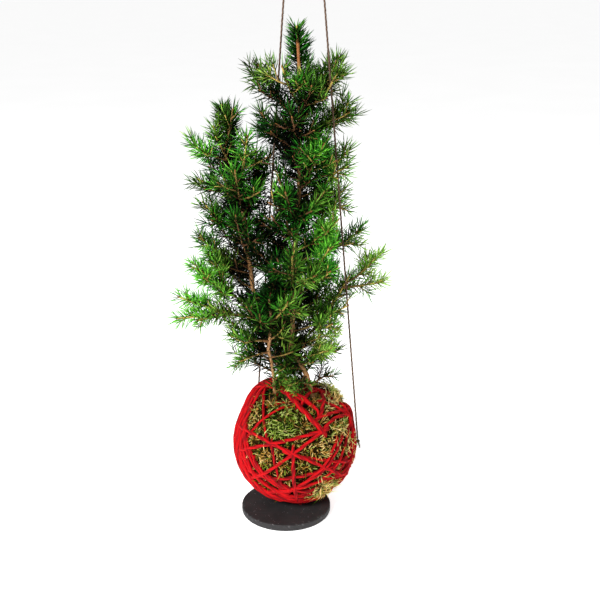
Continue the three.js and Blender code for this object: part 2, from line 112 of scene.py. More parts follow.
# Each branch, from the top of its stem down: the height where it leaves, its heading in degrees,
# its reach and rise, its side twigs (below 0 where the first is on the right) and its forks.
BRANCHES = {
    "centre": [
        [406, -115, 34, 35, 2, []], [399, 40, 33, 39, 1, [[0.3, 93, 43, 28, 0]]],
        [399, -75, 36, 26, 1, []], [392, 172, 35, 46, 1, [[0.7, 130, 24, 6, 0]]],
        [391, 14, 33, 53, 2, [[0.3, -35, 21, 25, 0]]], [373, 12, 43, 32, 2, [[0.3, 42, 36, 8, 0]]],
        [371, -98, 47, 29, 2, []], [362, -162, 35, 37, 1, [[0.3, 137, 33, 9, 0]]],
        [345, 122, 39, 16, 0, [[0.3, 88, 49, 30, 0]]], [335, -61, 42, 39, 2, []],
        [335, 78, 63, 27, 2, []], [330, 8, 45, 32, 1, [[0.3, -27, 30, 12, -1]]],
        [302, 70, 73, 9, 2, [[0.3, 113, 53, -4, 1]]], [296, 28, 49, 25, 1, [[0.3, -8, 29, 8, 0]]],
        [295, -99, 60, 41, 2, []], [281, -122, 38, 27, 1, []], [268, -30, 43, 34, 2, []],
        [256, 14, 65, 27, 2, []], [244, 74, 88, 14, 2, [[0.3, 119, 55, -6, 1]]],
        [231, -90, 58, 47, 2, []], [226, -47, 46, 53, 1, [[0.3, -59, 40, 21, 0]]],
        [206, 39, 45, 13, 1, []], [188, 70, 80, 0, 2, []],
        [168, 10, 54, 70, 3, [[0.3, -62, 33, 14, 0], [0.9, 16, 34, 26, 1], [0.85, -2, 38, 6, 0]]],
        [157, 24, 41, 1, 1, []], [137, -110, 47, 10, 1, []],
    ],
    "left": [
        [342, -127, 29, 43, 0, [[0.3, -162, 33, 16, 1], [0.5, -27, 11, 38, 0]]],
        [334, -76, 41, 46, 1, []], [324, 113, 50, 30, 2, []], [318, 169, 39, 14, 1, []],
        [306, -93, 53, 46, 2, []], [299, 44, 32, 52, 1, []],
        [286, 107, 56, 22, 2, [[0.3, 37, 25, 14, 0]]],
        [280, -173, 37, 31, 1, [[0.3, -125, 25, 16, 0]]], [258, -102, 40, 48, 1, []],
        [246, 167, 48, 26, 2, []], [234, 118, 64, 2, 2, []],
        [206, -155, 64, 52, 3, [[0.3, -165, 20, 38, 0]]],
        [193, -173, 81, 26, 2, [[0.3, -178, 59, -3, 1]]], [191, 96, 62, 2, 1, []],
    ],
    "front": [
        [202, -60, 30, 26, 1, []], [194, -134, 28, 27, 1, []],
        [180, -163, 38, 10, 1, [[0.3, 156, 24, 13, 0]]], [168, 177, 28, -11, 1, []],
    ],
}

# Each leader, the shoot at the top of its stem: heading, reach and rise.
LEADERS = {"centre": [180, 1, 12], "left": [-158, 3, 11], "front": [-39, 9, 20]}

# Places in the crown, x and z with a radius, whose needles differ from the rest: how much lighter they
# are, as painted light where above 0 and painted shade where below it, and how much more olive, as on
# starved shoots.
CROWN_PLACES = [
    [-84, 238, 26, 0.36, -0.3], [-96, 200, 24, 0.4, -0.15], [-39, 179, 26, 0.2, 0.1],
    [9, 235, 30, 0.14, 0.1], [4, 189, 22, 0.14, 0.35], [-1, 339, 11, 0.16, -0.1],
    [-42, 364, 11, 0.26, -0.1], [-73, 364, 14, 0.05, -0.1], [30, 361, 16, 0.2, -0.1],
    [-11, 443, 14, 0.1, 0.2], [37, 279, 18, 0.3, -0.3], [86, 252, 30, 0.6, 0.35],
    [64, 345, 22, 0.2, 0.2], [4, 400, 22, -0.2, -0.1], [4, 372, 20, -0.16, -0.1],
    [-24, 300, 34, -0.2, -0.1], [-8, 365, 18, -0.2, -0.1], [-22, 262, 24, -0.26, -0.1],
    [8, 318, 20, -0.1, -0.1], [4, 474, 22, 0.26, 0.2], [-32, 434, 20, 0.0, 0.4],
    [48, 430, 22, 0.18, 0.35], [50, 390, 20, 0.12, 0.35], [-66, 398, 22, 0.08, 0.35],
    [50, 322, 24, 0.3, 0.15], [-88, 318, 18, 0.0, 0.4], [-52, 250, 20, 0.04, 0.4],
    [-52, 208, 18, 0.0, 0.35], [50, 212, 24, 0.2, 0.25], [12, 176, 24, 0.08, 0.35],
    [46, 172, 24, 0.06, 0.3], [-20, 134, 26, 0.12, 0.3], [20, 132, 26, 0.1, 0.35],
]

# Short shoots low on each stem: height, heading, reach and rise.
LOW_SHOOTS = {
    "centre": [
        [132, -150, 22, 6], [126, -130, 20, 1], [146, -140, 24, 10], [172, -8, 44, 18],
        [158, -20, 34, 14], [150, 8, 32, 20],
    ],
    "left": [
        [126, -70, 18, 10], [134, -35, 22, 12], [142, -60, 20, 12], [120, -95, 16, 2],
        [150, 10, 18, 10],
    ],
    "front": [
        [122, -20, 16, 4], [116, -95, 5, 2], [120, -130, 5, 2], [124, -60, 5, 2], [129, -115, 6, 3],
        [136, -70, 6, 4],
    ],
}

# Heights between which the tallest stem shows its bark, and how far forward a needle there would
# have to point to be left out.
BARE_STRETCH = [424, 460]
BARE_FRONT = -0.62

# Heights between which each string hangs in front of the needles.
STRING_SHOWS = {"left": [[298, 372], [426, 508]], "right": [[110, 508]]}

# Turns of the wool, the lowest ones first: the heading and elevation of the normal of each turn's
# plane, how far that plane lies from the ball's centre, the strand's thickness against the rest, and
# the part of the turn, in degrees, over which it has sunk into the moss.
YARN_TURNS = [
    [-90, 26, 0, 1, 0, 0], [-15, 28, 0, 0.8, 155, 245], [115, 22, 0, 0.75, 66, 145],
    [-62, 43, 17, 0.95, 262, 330], [-107, 44, 8, 0.95, 110, 190], [-18, 16, 0, 0.85, 75, 155],
    [135, 45, 0, 1, -35, 82], [93, 17, 0, 0.85, 4, 116], [-176, 82, -8, 0.95, 60, 90],
    [43, 71, 0, 0.9, 48, 127], [-149, 50, 0, 0.85, 32, 80], [-65, 42, 20, 0.9, 95, 196],
    [56, 13, 0, 0.95, 124, 215], [154, 17, 0, 0.95, -50, 75], [179, 29, 0, 1.05, -60, 62],
    [145, 8, -41, 1, -75, 64], [-68, 39, 12, 1.05, 268, 330], [40, 57, -8, 1, 212, 220],
    [161, 52, 1, 1, 64, 115], [125, 64, 7, 1, 92, 145], [131, 70, -36, 0.95, -25, 24],
    [-140, 47, 9, 0.85, 20, 85], [-96, 46, 9, 0.95, 180, 327], [-134, 51, 0, 0.8, 255, 337],
    [-71, 43, 0, 0.95, 265, 305], [-77, 38, 26, 1, 245, 465], [-73, 42, 13, 1, 247, 340],
    [34, 25, 12, 1.1, 152, 225], [-74, 34, 8, 1.05, 275, 335], [28, 31, 18, 1.15, 154, 225],
    [49, 9, 0, 0.9, 127, 225], [41, 15, 0, 0.95, 110, 230], [-95, 37, 13, 1.05, 279, 445],
    [-9, 1, 8, 1.1, 70, 162], [-81, 30, 5, 1.05, 290, 335], [-98, 28, 12, 1, 262, 330],
]

# Shoulders beside the stems, where the moss was bunched up: heading, elevation, half width in
# radians and height.
SHOULDERS = [[154, 58, 0.62, 7.5], [25, 50, 0.5, 5], [14, 36, 0.42, 5]]

# Places on the ball by heading, elevation and half width in radians: where moss has grown over the wool,
# where it stands up shaggy with painted light on its shoots, and where it is lush and green.
OVERGROWN_PLACES = [[32, 54, 0.5], [-56, -31, 0.36], [-76, -38, 0.26], [-36, -30, 0.26]]
SHAGGY_PLACES = [
    [12, 50, 0.4], [-8, 2, 0.5], [160, 48, 0.35], [-54, -33, 0.42], [-74, -38, 0.3], [-34, -30, 0.34],
    [28, 50, 0.55], [60, 20, 0.4], [150, 5, 0.4],
]
GREEN_PLACES = [
    [-112, 40, 0.5], [-61, -23, 0.22], [100, 10, 0.5], [28, 52, 0.36], [-50, -41, 0.34], [-8, 5, 0.32],
    [-145, 15, 0.26],
]


# Small helpers


def linear(shade):
    """An sRGB colour, as 0xRRGGBB, in linear light."""
    parts = [(shade >> shift & 255) / 255 for shift in (16, 8, 0)]
    return tuple(c / 12.92 if c <= 0.04045 else ((c + 0.055) / 1.055) ** 2.4 for c in parts)


def unit(vectors):
    return vectors / np.linalg.norm(vectors, axis=-1, keepdims=True)


def direction(heading, elevation=0.0):
    turn, lift = math.radians(heading), math.radians(elevation)
    return np.array([math.cos(lift) * math.cos(turn), math.cos(lift) * math.sin(turn), math.sin(lift)])


def smooth(part):
    """An even rise from 0 to 1."""
    held = np.clip(part, 0, 1)
    return held * held * (3 - 2 * held)


def ripple(points, wavelength, seed):
    """Soft irregular noise between about -1 and 1, with waves of that length in the points' unit."""
    rng = np.random.default_rng(seed)
    waves = unit(rng.normal(size=(9, 3))) * (TURN / wavelength) * rng.uniform(0.6, 1.6, (9, 1))
    return np.sin(points @ waves.T + rng.uniform(0, TURN, 9)).sum(-1) / 3


def cross_axes(ways):
    """Two directions square to each way and to each other."""
    upright = np.abs(ways[..., 2:]) > 0.95
    first = unit(np.cross(np.where(upright, SIDE, UP), ways))
    return first, np.cross(ways, first)


def angles_round(sides):
    return TURN * np.arange(sides) / sides


def circle(first, second, sides):
    """The ways to the corners of each ring, in the plane of two directions."""
    angles = angles_round(sides)[:, None]
    return np.cos(angles) * first[:, None] + np.sin(angles) * second[:, None]


class Line:
    """A line through points, read by the part of its length."""

    def __init__(self, points):
        self.points = np.asarray(points, float)
        steps = np.linalg.norm(np.diff(self.points, axis=0), axis=1)
        self.travel = np.concatenate([[0.0], np.cumsum(steps)])
        self.length = float(self.travel[-1])

    def at(self, part):
        place = np.asarray(part, float) * self.length
        return np.stack([np.interp(place, self.travel, self.points[:, k]) for k in range(3)], -1)

    def way(self, part):
        part = np.asarray(part, float)
        return unit(self.at(np.minimum(part + 0.005, 1)) - self.at(np.maximum(part - 0.005, 0)))


class Heap:
    """The points and triangles of one piece, and three values at each point for its material: reach (along
    a blade, out of a groove or toward young bark), which on blades, plies and the moss mat also sets
    painted shade; tone, which on needles, moss and wool also holds painted light and shade; and how dry
    and yellowed it is."""

    def __init__(self):
        self.points, self.triangles, self.finishes = [], [], []
        self.layers = {"reach": [], "tone": [], "dry": []}
        self.count = 0

    def add(self, points, triangles, reach=0.0, tone=0.5, finish=0, dry=0.0):
        points = np.reshape(points, (-1, 3))
        self.points.append(points)
        self.triangles.append(np.asarray(triangles) + self.count)
        for values, given in zip(self.layers.values(), (reach, tone, dry)):
            values.append(np.broadcast_to(given, len(points)))
        self.finishes.append(np.full(len(triangles), finish))
        self.count += len(points)

    def piece(self, name, materials, slot, replaced=()):
        """Makes the piece, which rides on the root and stands for the CAD nodes named."""
        mesh = bpy.data.meshes.new(name)
        points, triangles = np.concatenate(self.points), np.concatenate(self.triangles)
        mesh.vertices.add(len(points))
        mesh.vertices.foreach_set("co", (points * MM).astype(np.float32).ravel())
        mesh.loops.add(triangles.size)
        mesh.loops.foreach_set("vertex_index", triangles.astype(np.int32).ravel())
        mesh.polygons.add(len(triangles))
        mesh.polygons.foreach_set("loop_start", np.arange(0, triangles.size, 3, dtype=np.int32))
        mesh.polygons.foreach_set("material_index", np.concatenate(self.finishes).astype(np.int32))
        for label, values in self.layers.items():
            attribute = mesh.attributes.new(label, "FLOAT", "POINT")
            attribute.data.foreach_set("value", np.concatenate(values).astype(np.float32))
        mesh.update(calc_edges=True)
        mesh.validate()
        mesh.shade_smooth()
        for material in materials:
            mesh.materials.append(material)
        made = bpy.data.objects.new(name, mesh)
        bpy.context.scene.collection.objects.link(made)
        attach(made, "root")
        if replaced:
            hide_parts(*replaced)
        return made


def rings_of_triangles(rings, sides, closed=False):
    """Triangles of the wall through rings of corners that run counter-clockwise along the line."""
    ring = np.arange(rings if closed else rings - 1)[:, None]
    corner = np.arange(sides)[None]
    after = (corner + 1) % sides
    above = (ring + 1) % rings
    a, b, c, d = ring * sides + corner, ring * sides + after, above * sides + after, above * sides + corner
    return np.concatenate([np.stack([a, b, c], -1).reshape(-1, 3), np.stack([a, c, d], -1).reshape(-1, 3)])


def fan(sides, start, centre, flipped=False):
    """Triangles from a ring of corners, the first one numbered start, to one point."""
    corner = start + np.arange(sides)
    after = np.roll(corner, -1)
    pair = [after, corner] if flipped else [corner, after]
    return np.stack([*pair, np.full(sides, centre)], -1)


def capped(rings, ends):
    """A closed surface through rings from its top down, and its end points."""
    count, sides = rings.shape[:2]
    last = count * sides
    wall = rings_of_triangles(count, sides)[:, ::-1]
    faces = [wall, fan(sides, 0, last), fan(sides, last - sides, last + 1, True)]
    return np.concatenate([rings.reshape(-1, 3), ends]), np.concatenate(faces)


def tube(centres, radii, sides, closed=False, first=None):
    """A tube through centres. radii holds one number for each ring, or one for each corner."""
    centres = np.asarray(centres, float)
    if closed:
        ways = unit(np.roll(centres, -1, 0) - np.roll(centres, 1, 0))
    else:
        ways = unit(np.gradient(centres, axis=0))
    if first is None:
        across = [cross_axes(ways[:1])[0][0]]
        for way in ways[1:]:
            across.append(unit(across[-1] - way * (across[-1] @ way)))
        first = np.array(across)
    rim = circle(first, np.cross(ways, first), sides)
    radii = np.broadcast_to(np.reshape(radii, (len(centres), -1)), (len(centres), sides))
    points = (centres[:, None] + rim * radii[..., None]).reshape(-1, 3)
    triangles = rings_of_triangles(len(centres), sides, closed)
    if closed:
        return points, triangles
    last = len(points)
    caps = [fan(sides, 0, last, True), fan(sides, last - sides, last + 1)]
    return np.concatenate([points, centres[:1], centres[-1:]]), np.concatenate([triangles, *caps])


def to_corners(values, sides):
    """One value a ring, given to every corner of a tube and to its two end points."""
    return np.concatenate([np.repeat(values, sides), values[[0, -1]]])


def blades(feet, ways, bends, lengths, widths, profile, sides):
    """Many tapering blades at once: their points, triangles and each point's part of the length.

    profile holds (part of the length, share of the half width) for each ring before the tip."""
    along, thick = np.array(profile).T
    rim = circle(*cross_axes(ways), sides)
    lengths, widths = np.reshape(lengths, (-1, 1, 1)), np.reshape(widths, (-1, 1, 1, 1))
    part = along[None, :, None]
    centres = feet[:, None] + lengths * (part * ways[:, None] + part**2 * bends[:, None])
    rings = centres[:, :, None] + widths * thick[None, :, None, None] * rim[:, None]
    tips = feet + lengths[:, 0] * (ways + bends)
    points = np.concatenate([rings.reshape(len(feet), -1, 3), tips[:, None]], 1)
    top = (len(along) - 1) * sides
    foot = np.array([[0, k + 1, k] for k in range(1, sides - 1)])
    one = np.concatenate([rings_of_triangles(len(along), sides), fan(sides, top, top + sides), foot])
    triangles = (one[None] + np.arange(len(feet))[:, None, None] * points.shape[1]).reshape(-1, 3)
    reach = np.tile(np.concatenate([np.repeat(along, sides), [1.0]]), len(feet))
    return points.reshape(-1, 3), triangles, reach


# Materials

# The Mix node's colour inputs A and B, and its colour output
A, B, RESULT = 6, 7, 2


def set_inputs(tree, node, inputs):
    """Links or sets a node's inputs. A colour may be given as 0xRRGGBB."""
    for key, value in inputs.items():
        socket = node.inputs[key]
        if isinstance(value, bpy.types.NodeSocket):
            tree.links.new(value, socket)
        elif socket.type == "RGBA":
            socket.default_value = (*linear(value), 1.0)
        else:
            socket.default_value = value


def add_node(tree, kind, inputs, output=0, stops=(), **settings):
    """Adds a node with its settings, inputs and ramp stops, and returns the output asked for."""
    made = tree.nodes.new("ShaderNode" + kind)
    for name, value in settings.items():
        setattr(made, name, value)
    if stops:
        elements = made.color_ramp.elements
        while len(elements) < len(stops):
            elements.new(1.0)
        for element, (position, colour) in zip(elements, stops):
            element.position = position
            element.color = (*(linear(colour) if isinstance(colour, int) else colour), 1.0)
    set_inputs(tree, made, inputs)
    return made.outputs[output]


def new_material(name, *layers):
    """A material with its shader, its object coordinates in millimetres and layers of its meshes."""
    material = bpy.data.materials.new(name)
    material.use_nodes = True
    tree = material.node_tree
    tree.nodes.clear()
    shader = tree.nodes.new("ShaderNodeBsdfPrincipled")
    end = tree.nodes.new("ShaderNodeOutputMaterial")
    tree.links.new(shader.outputs["BSDF"], end.inputs["Surface"])
    metres = add_node(tree, "TexCoord", {}, "Object")
    place = add_node(tree, "VectorMath", {0: metres, "Scale": 1 / MM}, operation="SCALE")
    read = [add_node(tree, "Attribute", {}, "Fac", attribute_name=layer) for layer in layers]
    return material, tree, shader, place, *read


def honed_slate(colours):
    """Slate, split, honed flat and blackened with oil: matt, with a fine grain, faint scuffs where
    pots have slid on it, tiny pale specks and paler stone in the chips at the edge."""
    material, tree, shader, place, chipped = new_material("honed_slate", "tone")
    grain = add_node(tree, "TexNoise", {"Vector": place, "Scale": 1.6, "Detail": 6.0})
    cloud = add_node(tree, "TexNoise", {"Vector": place, "Scale": 0.07, "Detail": 3.0})
    fleck = add_node(tree, "TexNoise", {"Vector": place, "Scale": 0.55, "Detail": 2.0})
    drag = {"Vector": place, "Rotation": (0.0, 0.0, 0.7), "Scale": (0.05, 1.7, 1.0)}
    dragged = {"Vector": add_node(tree, "Mapping", drag), "Scale": 0.6, "Detail": 4.0, "Distortion": 0.6}
    scuff = add_node(tree, "TexNoise", dragged)
    scuffed = add_node(tree, "ValToRGB", {"Fac": scuff}, stops=[(0.64, 0x000000), (0.78, (0.8, 0.8, 0.8))])
    stone = add_node(tree, "ValToRGB", {"Fac": cloud}, stops=[(0.3, 0x1E1D1E), (0.7, colours.slate)])
    worn = add_node(tree, "Mix", {"Factor": scuffed, A: stone, B: 0x484647}, RESULT, data_type="RGBA")
    flecks = add_node(tree, "ValToRGB", {"Fac": fleck}, stops=[(0.715, 0x000000), (0.73, (0.7, 0.7, 0.7))])
    specked = add_node(tree, "Mix", {"Factor": flecks, A: worn, B: 0x9C9898}, RESULT, data_type="RGBA")
    mixed = add_node(tree, "Mix", {"Factor": chipped, A: specked, B: 0x6C6A6B}, RESULT, data_type="RGBA")
    rough = add_node(tree, "MapRange", {"Value": grain, "To Min": 0.55, "To Max": 0.85})
    bump = add_node(tree, "Bump", {"Height": grain, "Strength": 0.35, "Distance": 0.00012})
    set_inputs(tree, shader, {"Base Color": mixed, "Roughness": rough, "Normal": bump})
    return material


def crumbled_peat(colours):
    """Peat and clay soil, kneaded and pressed into a ball: almost black where damp, with brown
    fibres, and no shine."""
    material, tree, shader, place, tone = new_material("crumbled_peat", "tone")
    crumbs = add_node(tree, "TexNoise", {"Vector": place, "Scale": 0.9, "Detail": 8.0})
    shade = add_node(tree, "Math", {0: tone, 1: 0.7, 2: crumbs}, operation="MULTIPLY_ADD")
    stops = [(0.45, 0x140D08), (0.75, colours.soil), (1.0, 0x6E4E33)]
    colour = add_node(tree, "ValToRGB", {"Fac": shade}, stops=stops)
    bump = add_node(tree, "Bump", {"Height": crumbs, "Strength": 0.8, "Distance": 0.0008})
    set_inputs(tree, shader, {"Base Color": colour, "Roughness": 0.95, "Normal": bump})
    return material


def sheet_moss(colours):
    """Living sheet moss: thin curled shoots, matt, painted with shade that darkens each shoot to black at
    its foot, and painted lighter at its tip. Tones below a half are lush green ones, and those above it
    are olive to straw-brown ones."""
    material, tree, shader, place, tone, reach = new_material("sheet_moss", "tone", "reach")
    green = [(0.0, 0x0C1402), (0.16, 0x2E5208), (0.3, colours.moss), (0.46, 0xD6E484)]
    straw = [(0.5, 0x1E1403), (0.66, 0x75591A), (0.82, 0xD09C44), (1.0, 0xFFE094)]
    colour = add_node(tree, "ValToRGB", {"Fac": tone}, stops=green + straw)
    moss_shade_to_light = add_node(tree, "MapRange", {"Value": reach, "From Max": 0.8, "To Min": 0.0, "To Max": 1.35})
    shaded = add_node(tree, "VectorMath", {0: colour, "Scale": moss_shade_to_light}, operation="SCALE")
    fine = add_node(tree, "TexNoise", {"Vector": place, "Scale": 3.0, "Detail": 2.0})
    bump = add_node(tree, "Bump", {"Height": fine, "Strength": 0.4, "Distance": 0.0002})
    matt = {"Roughness": 0.75, "Specular IOR Level": 0.04}
    set_inputs(tree, shader, {"Base Color": shaded, **matt, "Normal": bump})
    return material


def felted_wool(colours):
    """Sheep's wool roving, coloured red with dye, lightly plied and felted: matt, with a soft bloom at its
    edge, painted shade between the plies, uneven in the dye and painted a little darker with shade on the
    ball's right side."""
    material, tree, shader, place, dye_and_shade, groove = new_material("felted_wool", "tone", "reach")
    dye = add_node(tree, "TexNoise", {"Vector": place, "Scale": 0.05, "Detail": 3.0})
    felt = {"Vector": place, "Scale": 1.5, "Detail": 5.0, "Distortion": 1.5}
    fibre = add_node(tree, "TexNoise", felt)
    tone = groove
    for layer, share in ((dye, 0.5), (fibre, 0.4), (dye_and_shade, 0.5)):
        tone = add_node(tree, "Math", {0: layer, 1: share, 2: tone}, operation="MULTIPLY_ADD")
    stops = [(0.5, 0x4A0008), (0.82, 0x98040E), (1.0, colours.wool)]
    colour = add_node(tree, "ValToRGB", {"Fac": tone}, stops=stops)
    bloom = {"Sheen Weight": 0.12, "Sheen Roughness": 0.4, "Sheen Tint": 0xFF3A30}
    bump = add_node(tree, "Bump", {"Height": fibre, "Strength": 0.6, "Distance": 0.0004})
    matt = {"Roughness": 0.9, "Specular IOR Level": 0.2}
    set_inputs(tree, shader, {"Base Color": colour, **matt, **bloom, "Normal": bump})
    return material


def twisted_jute(colours):
    """Jute twine, three plies twisted together: dull tan with painted shade in the grooves, dry and hairy.
    """
    material, tree, shader, place, groove = new_material("twisted_jute", "reach")
    bast = {"Vector": place, "Scale": 1.8, "Detail": 4.0, "Distortion": 0.8}
    fibre = add_node(tree, "TexNoise", bast)
    shade = add_node(tree, "Math", {0: fibre, 1: 0.7, 2: groove}, operation="MULTIPLY_ADD")
    stops = [(0.3, 0x3F2A1A), (0.7, colours.jute), (1.0, 0xC9AE86)]
    colour = add_node(tree, "ValToRGB", {"Fac": shade}, stops=stops)
    bump = add_node(tree, "Bump", {"Height": fibre, "Strength": 0.6, "Distance": 0.0002})
    set_inputs(tree, shader, {"Base Color": colour, "Roughness": 0.9, "Normal": bump})
    return material


def spruce_bark(colours):
    """Bark of the young stems: thin, pale orange-brown and furrowed lengthways between the needles'
    pegs, with a scaly surface that has no shine."""
    return bark_material("spruce_bark", (0x6A4226, colours.bark, 0xDDB48C))


def shoot_bark(colours):
    """Bark of the twigs: dark brown where the needles shade it, rust-coloured at the bud scales and
    yellow on this year's growth."""
    return bark_material("shoot_bark", (0x2C1C0E, colours.twigs, 0xA87C48))


def bark_material(name, shades):
    material, tree, shader, place, rust, youth = new_material(name, "tone", "reach")
    furrow = add_node(tree, "Mapping", {"Vector": place, "Scale": (1.3, 1.3, 0.22)})
    scales = {"Vector": furrow, "Scale": 1.0, "Detail": 6.0, "Distortion": 0.4}
    grain = add_node(tree, "TexNoise", scales)
    blotch = add_node(tree, "TexNoise", {"Vector": place, "Scale": 0.12, "Detail": 3.0})
    mixed = add_node(tree, "Math", {0: blotch, 1: 0.5, 2: grain}, operation="MULTIPLY_ADD")
    brown = add_node(tree, "ValToRGB", {"Fac": mixed}, stops=list(zip((0.45, 0.75, 1.0), shades)))
    yellow = add_node(tree, "Mix", {"Factor": youth, A: brown, B: 0xD6BE5C}, RESULT, data_type="RGBA")
    rusty = add_node(tree, "Mix", {"Factor": rust, A: yellow, B: 0x96501E}, RESULT, data_type="RGBA")
    bump = add_node(tree, "Bump", {"Height": grain, "Strength": 0.7, "Distance": 0.0005})
    set_inputs(tree, shader, {"Base Color": rusty, "Roughness": 0.8, "Normal": bump})
    return material


def waxy_needles(colours):
    """Spruce needles: coated with a little wax that gives a faint gloss, dark green on old shoots and
    yellow-green on new ones. Each needle is painted dark with shade at its foot and painted lighter
    towards its tip, and its tone also carries painted light and shade in the crown."""
    material, tree, shader, place, tone, reach, dry = new_material("waxy_needles", "tone", "reach", "dry")
    ages = [(0.0, 0x010602), (0.35, colours.needles), (0.7, colours.fresh_needles), (1.0, 0x74D23C)]
    green = add_node(tree, "ValToRGB", {"Fac": tone}, stops=ages)
    dull = [(0.0, 0x080802), (0.35, 0x303A0C), (0.7, 0x6E8A2C), (1.0, 0xBED068)]
    olive = add_node(tree, "ValToRGB", {"Fac": tone}, stops=dull)
    colour = add_node(tree, "Mix", {"Factor": dry, A: green, B: olive}, RESULT, data_type="RGBA")
    needle_shade_to_light = add_node(tree, "MapRange", {"Value": reach, "To Min": 0.3, "To Max": 1.5})
    shaded = add_node(tree, "VectorMath", {0: colour, "Scale": needle_shade_to_light}, operation="SCALE")
    lines = add_node(tree, "TexNoise", {"Vector": place, "Scale": 2.0, "Detail": 2.0})
    bump = add_node(tree, "Bump", {"Height": lines, "Strength": 0.2, "Distance": 0.0001})
    waxed = {"Roughness": 0.5, "Specular IOR Level": 0.06}
    set_inputs(tree, shader, {"Base Color": shaded, **waxed, "Normal": bump})
    return material


def seamless_paper():
    """White paper roll, as photographers hang it: matt and almost evenly white."""
    material, tree, shader, place = new_material("seamless_paper")
    mottle = add_node(tree, "TexNoise", {"Vector": place, "Scale": 0.004, "Detail": 1.0})
    colour = add_node(tree, "ValToRGB", {"Fac": mottle}, stops=[(0.3, 0xF0F0F0), (0.7, 0xF6F6F6)])
    glow = {"Emission Color": 0xFFFFFF, "Emission Strength": 0.72}
    set_inputs(tree, shader, {"Base Color": colour, "Roughness": 0.9, **glow})
    return material


def material_for(maker, colours):
    """The material of that maker, made once."""
    return bpy.data.materials.get(maker.__name__) or maker(colours)


# Sizes and colours that a user may change


def length_property(name, description, default, low, high):
    return bpy.props.FloatProperty(
        name=name, description=description, default=default, min=low, max=high, unit="LENGTH"
    )


def colour_property(name, description, shade):
    return bpy.props.FloatVectorProperty(
        name=name, description=description, default=linear(shade), subtype="COLOR", min=0.0, max=1.0
    )


class KokedamaSizes(bpy.types.PropertyGroup):
    needle_length: length_property(
        "Needle length", "Length of a full-grown spruce needle", 0.0138, 0.004, 0.03
    )
    needle_width: length_property(
        "Needle width", "Width of a spruce needle at its widest", 0.001, 0.0003, 0.003
    )
    needle_spacing: length_property(
        "Needle spacing", "Distance along a twig from one needle to the next", 0.0006, 0.0002, 0.005
    )
    moss_shoots: bpy.props.IntProperty(
        name="Moss tufts", description="Number of tufts of moss on the whole ball",
        default=1350, min=50, max=3000,
    )
    moss_length: length_property("Moss shoot length", "Length of a moss shoot", 0.0077, 0.002, 0.015)
    yarn_diameter: length_property("Yarn diameter", "Thickness of the wool yarn", 0.0035, 0.001, 0.006)
    string_diameter: length_property(
        "String diameter", "Thickness of the jute strings", 0.0019, 0.001, 0.004
    )


class KokedamaColours(bpy.types.PropertyGroup):
    slate: colour_property("Slate", "The plate's stone", 0x2C2A2B)
    soil: colour_property("Soil", "The soil in the moss's opening", 0x3A2A1E)
    moss: colour_property("Moss", "Green moss shoots in the light", 0x8AA632)
    wool: colour_property("Wool", "The dyed yarn", 0xC4060F)
    jute: colour_property("Jute", "The hanging strings", 0x5A4234)
    bark: colour_property("Bark", "The spruces' young bark", 0xB4854F)
    twigs: colour_property("Twigs", "The bark of the twigs", 0x6C4828)
    needles: colour_property("Needles", "Full-grown needles", 0x0C3008)
    fresh_needles: colour_property("Fresh needles", "Needles of this year's shoots", 0x2A861E)


# Stage, in metres

CAMERA_PLACE = (0.0141, -0.9017, 0.5299)
CAMERA_TILT = math.radians(71.3)
LENS = 60
SENSOR_WIDTH = 36
SKY_STRENGTH = 0.26
FLOOR_RADIUS = 30.0
FLOOR_DROP = 0.0002
LIGHTS_AIM = (0.0, 0.02, 0.2)

# Each light's place, size and power
LIGHTS = {
    "key": [(-1.0, -1.3, 1.2), 0.5, 42],
    "fill": [(1.4, -1.0, 0.8), 1.2, 3],
    "back": [(0.5, 1.2, 1.3), 1.0, 8],
}


class KOKEDAMA_OT_stage(bpy.types.Operator):
    """Lays the white floor and sets the soft studio lights and the camera"""

    bl_idname = "kokedama.stage"
    bl_label = "Stage, lights and camera"

    def execute(self, context):
        scene = context.scene
        camera = bpy.data.objects.new("camera", bpy.data.cameras.new("camera"))
        camera.data.lens = LENS
        camera.data.sensor_width = SENSOR_WIDTH
        camera.location = CAMERA_PLACE
        camera.rotation_euler = (CAMERA_TILT, 0, 0)
        scene.collection.objects.link(camera)
        scene.camera = camera

        mesh = bpy.data.meshes.new("floor")
        rim = angles_round(64)
        corners = [(FLOOR_RADIUS * math.cos(a), FLOOR_RADIUS * math.sin(a), -FLOOR_DROP) for a in rim]
        mesh.from_pydata(corners, [], [list(range(len(rim)))])
        mesh.materials.append(seamless_paper())
        floor = bpy.data.objects.new("floor", mesh)
        scene.collection.objects.link(floor)

        world = bpy.data.worlds.new("studio")
        world.use_nodes = True
        scene.world = world
        background = world.node_tree.nodes["Background"]
        background.inputs["Color"].default_value = (1.0, 1.0, 1.0, 1.0)
        background.inputs["Strength"].default_value = SKY_STRENGTH
        for name, (place, size, power) in LIGHTS.items():
            lamp = bpy.data.lights.new(name, "AREA")
            lamp.size = size
            lamp.energy = power
            light = bpy.data.objects.new(name, lamp)
            light.location = place
            light.rotation_euler = (Vector(LIGHTS_AIM) - Vector(place)).to_track_quat("-Z", "Y").to_euler()
            scene.collection.objects.link(light)
        scene.view_settings.view_transform = "Standard"
        return {"FINISHED"}


# Strings

TWINE_SIDES = 9
TWINE_PLIES = 3
TWINE_PITCH = 5.0
TWINE_STEP = 1.2
KNOT_SIZE = 0.62
KNOT_SHARE = 0.8
TAIL_SHARE = 0.55
HAIR_LENGTH = 2.4
HAIR_WIDTH = 0.07
HAIR_REACH = 0.45
STRING_HAIRS = 260
LOOP_HAIRS = 60
TAIL_HAIRS = 40


def tie_place(side):
    normal = direction(*TIE_TURN)
    first = unit(np.cross(UP, normal))
    second = unit(np.cross(normal, first))
    angle = math.radians(TIE_ANGLES[side])
    return BALL + TIE_OUT * (math.cos(angle) * first + math.sin(angle) * second)


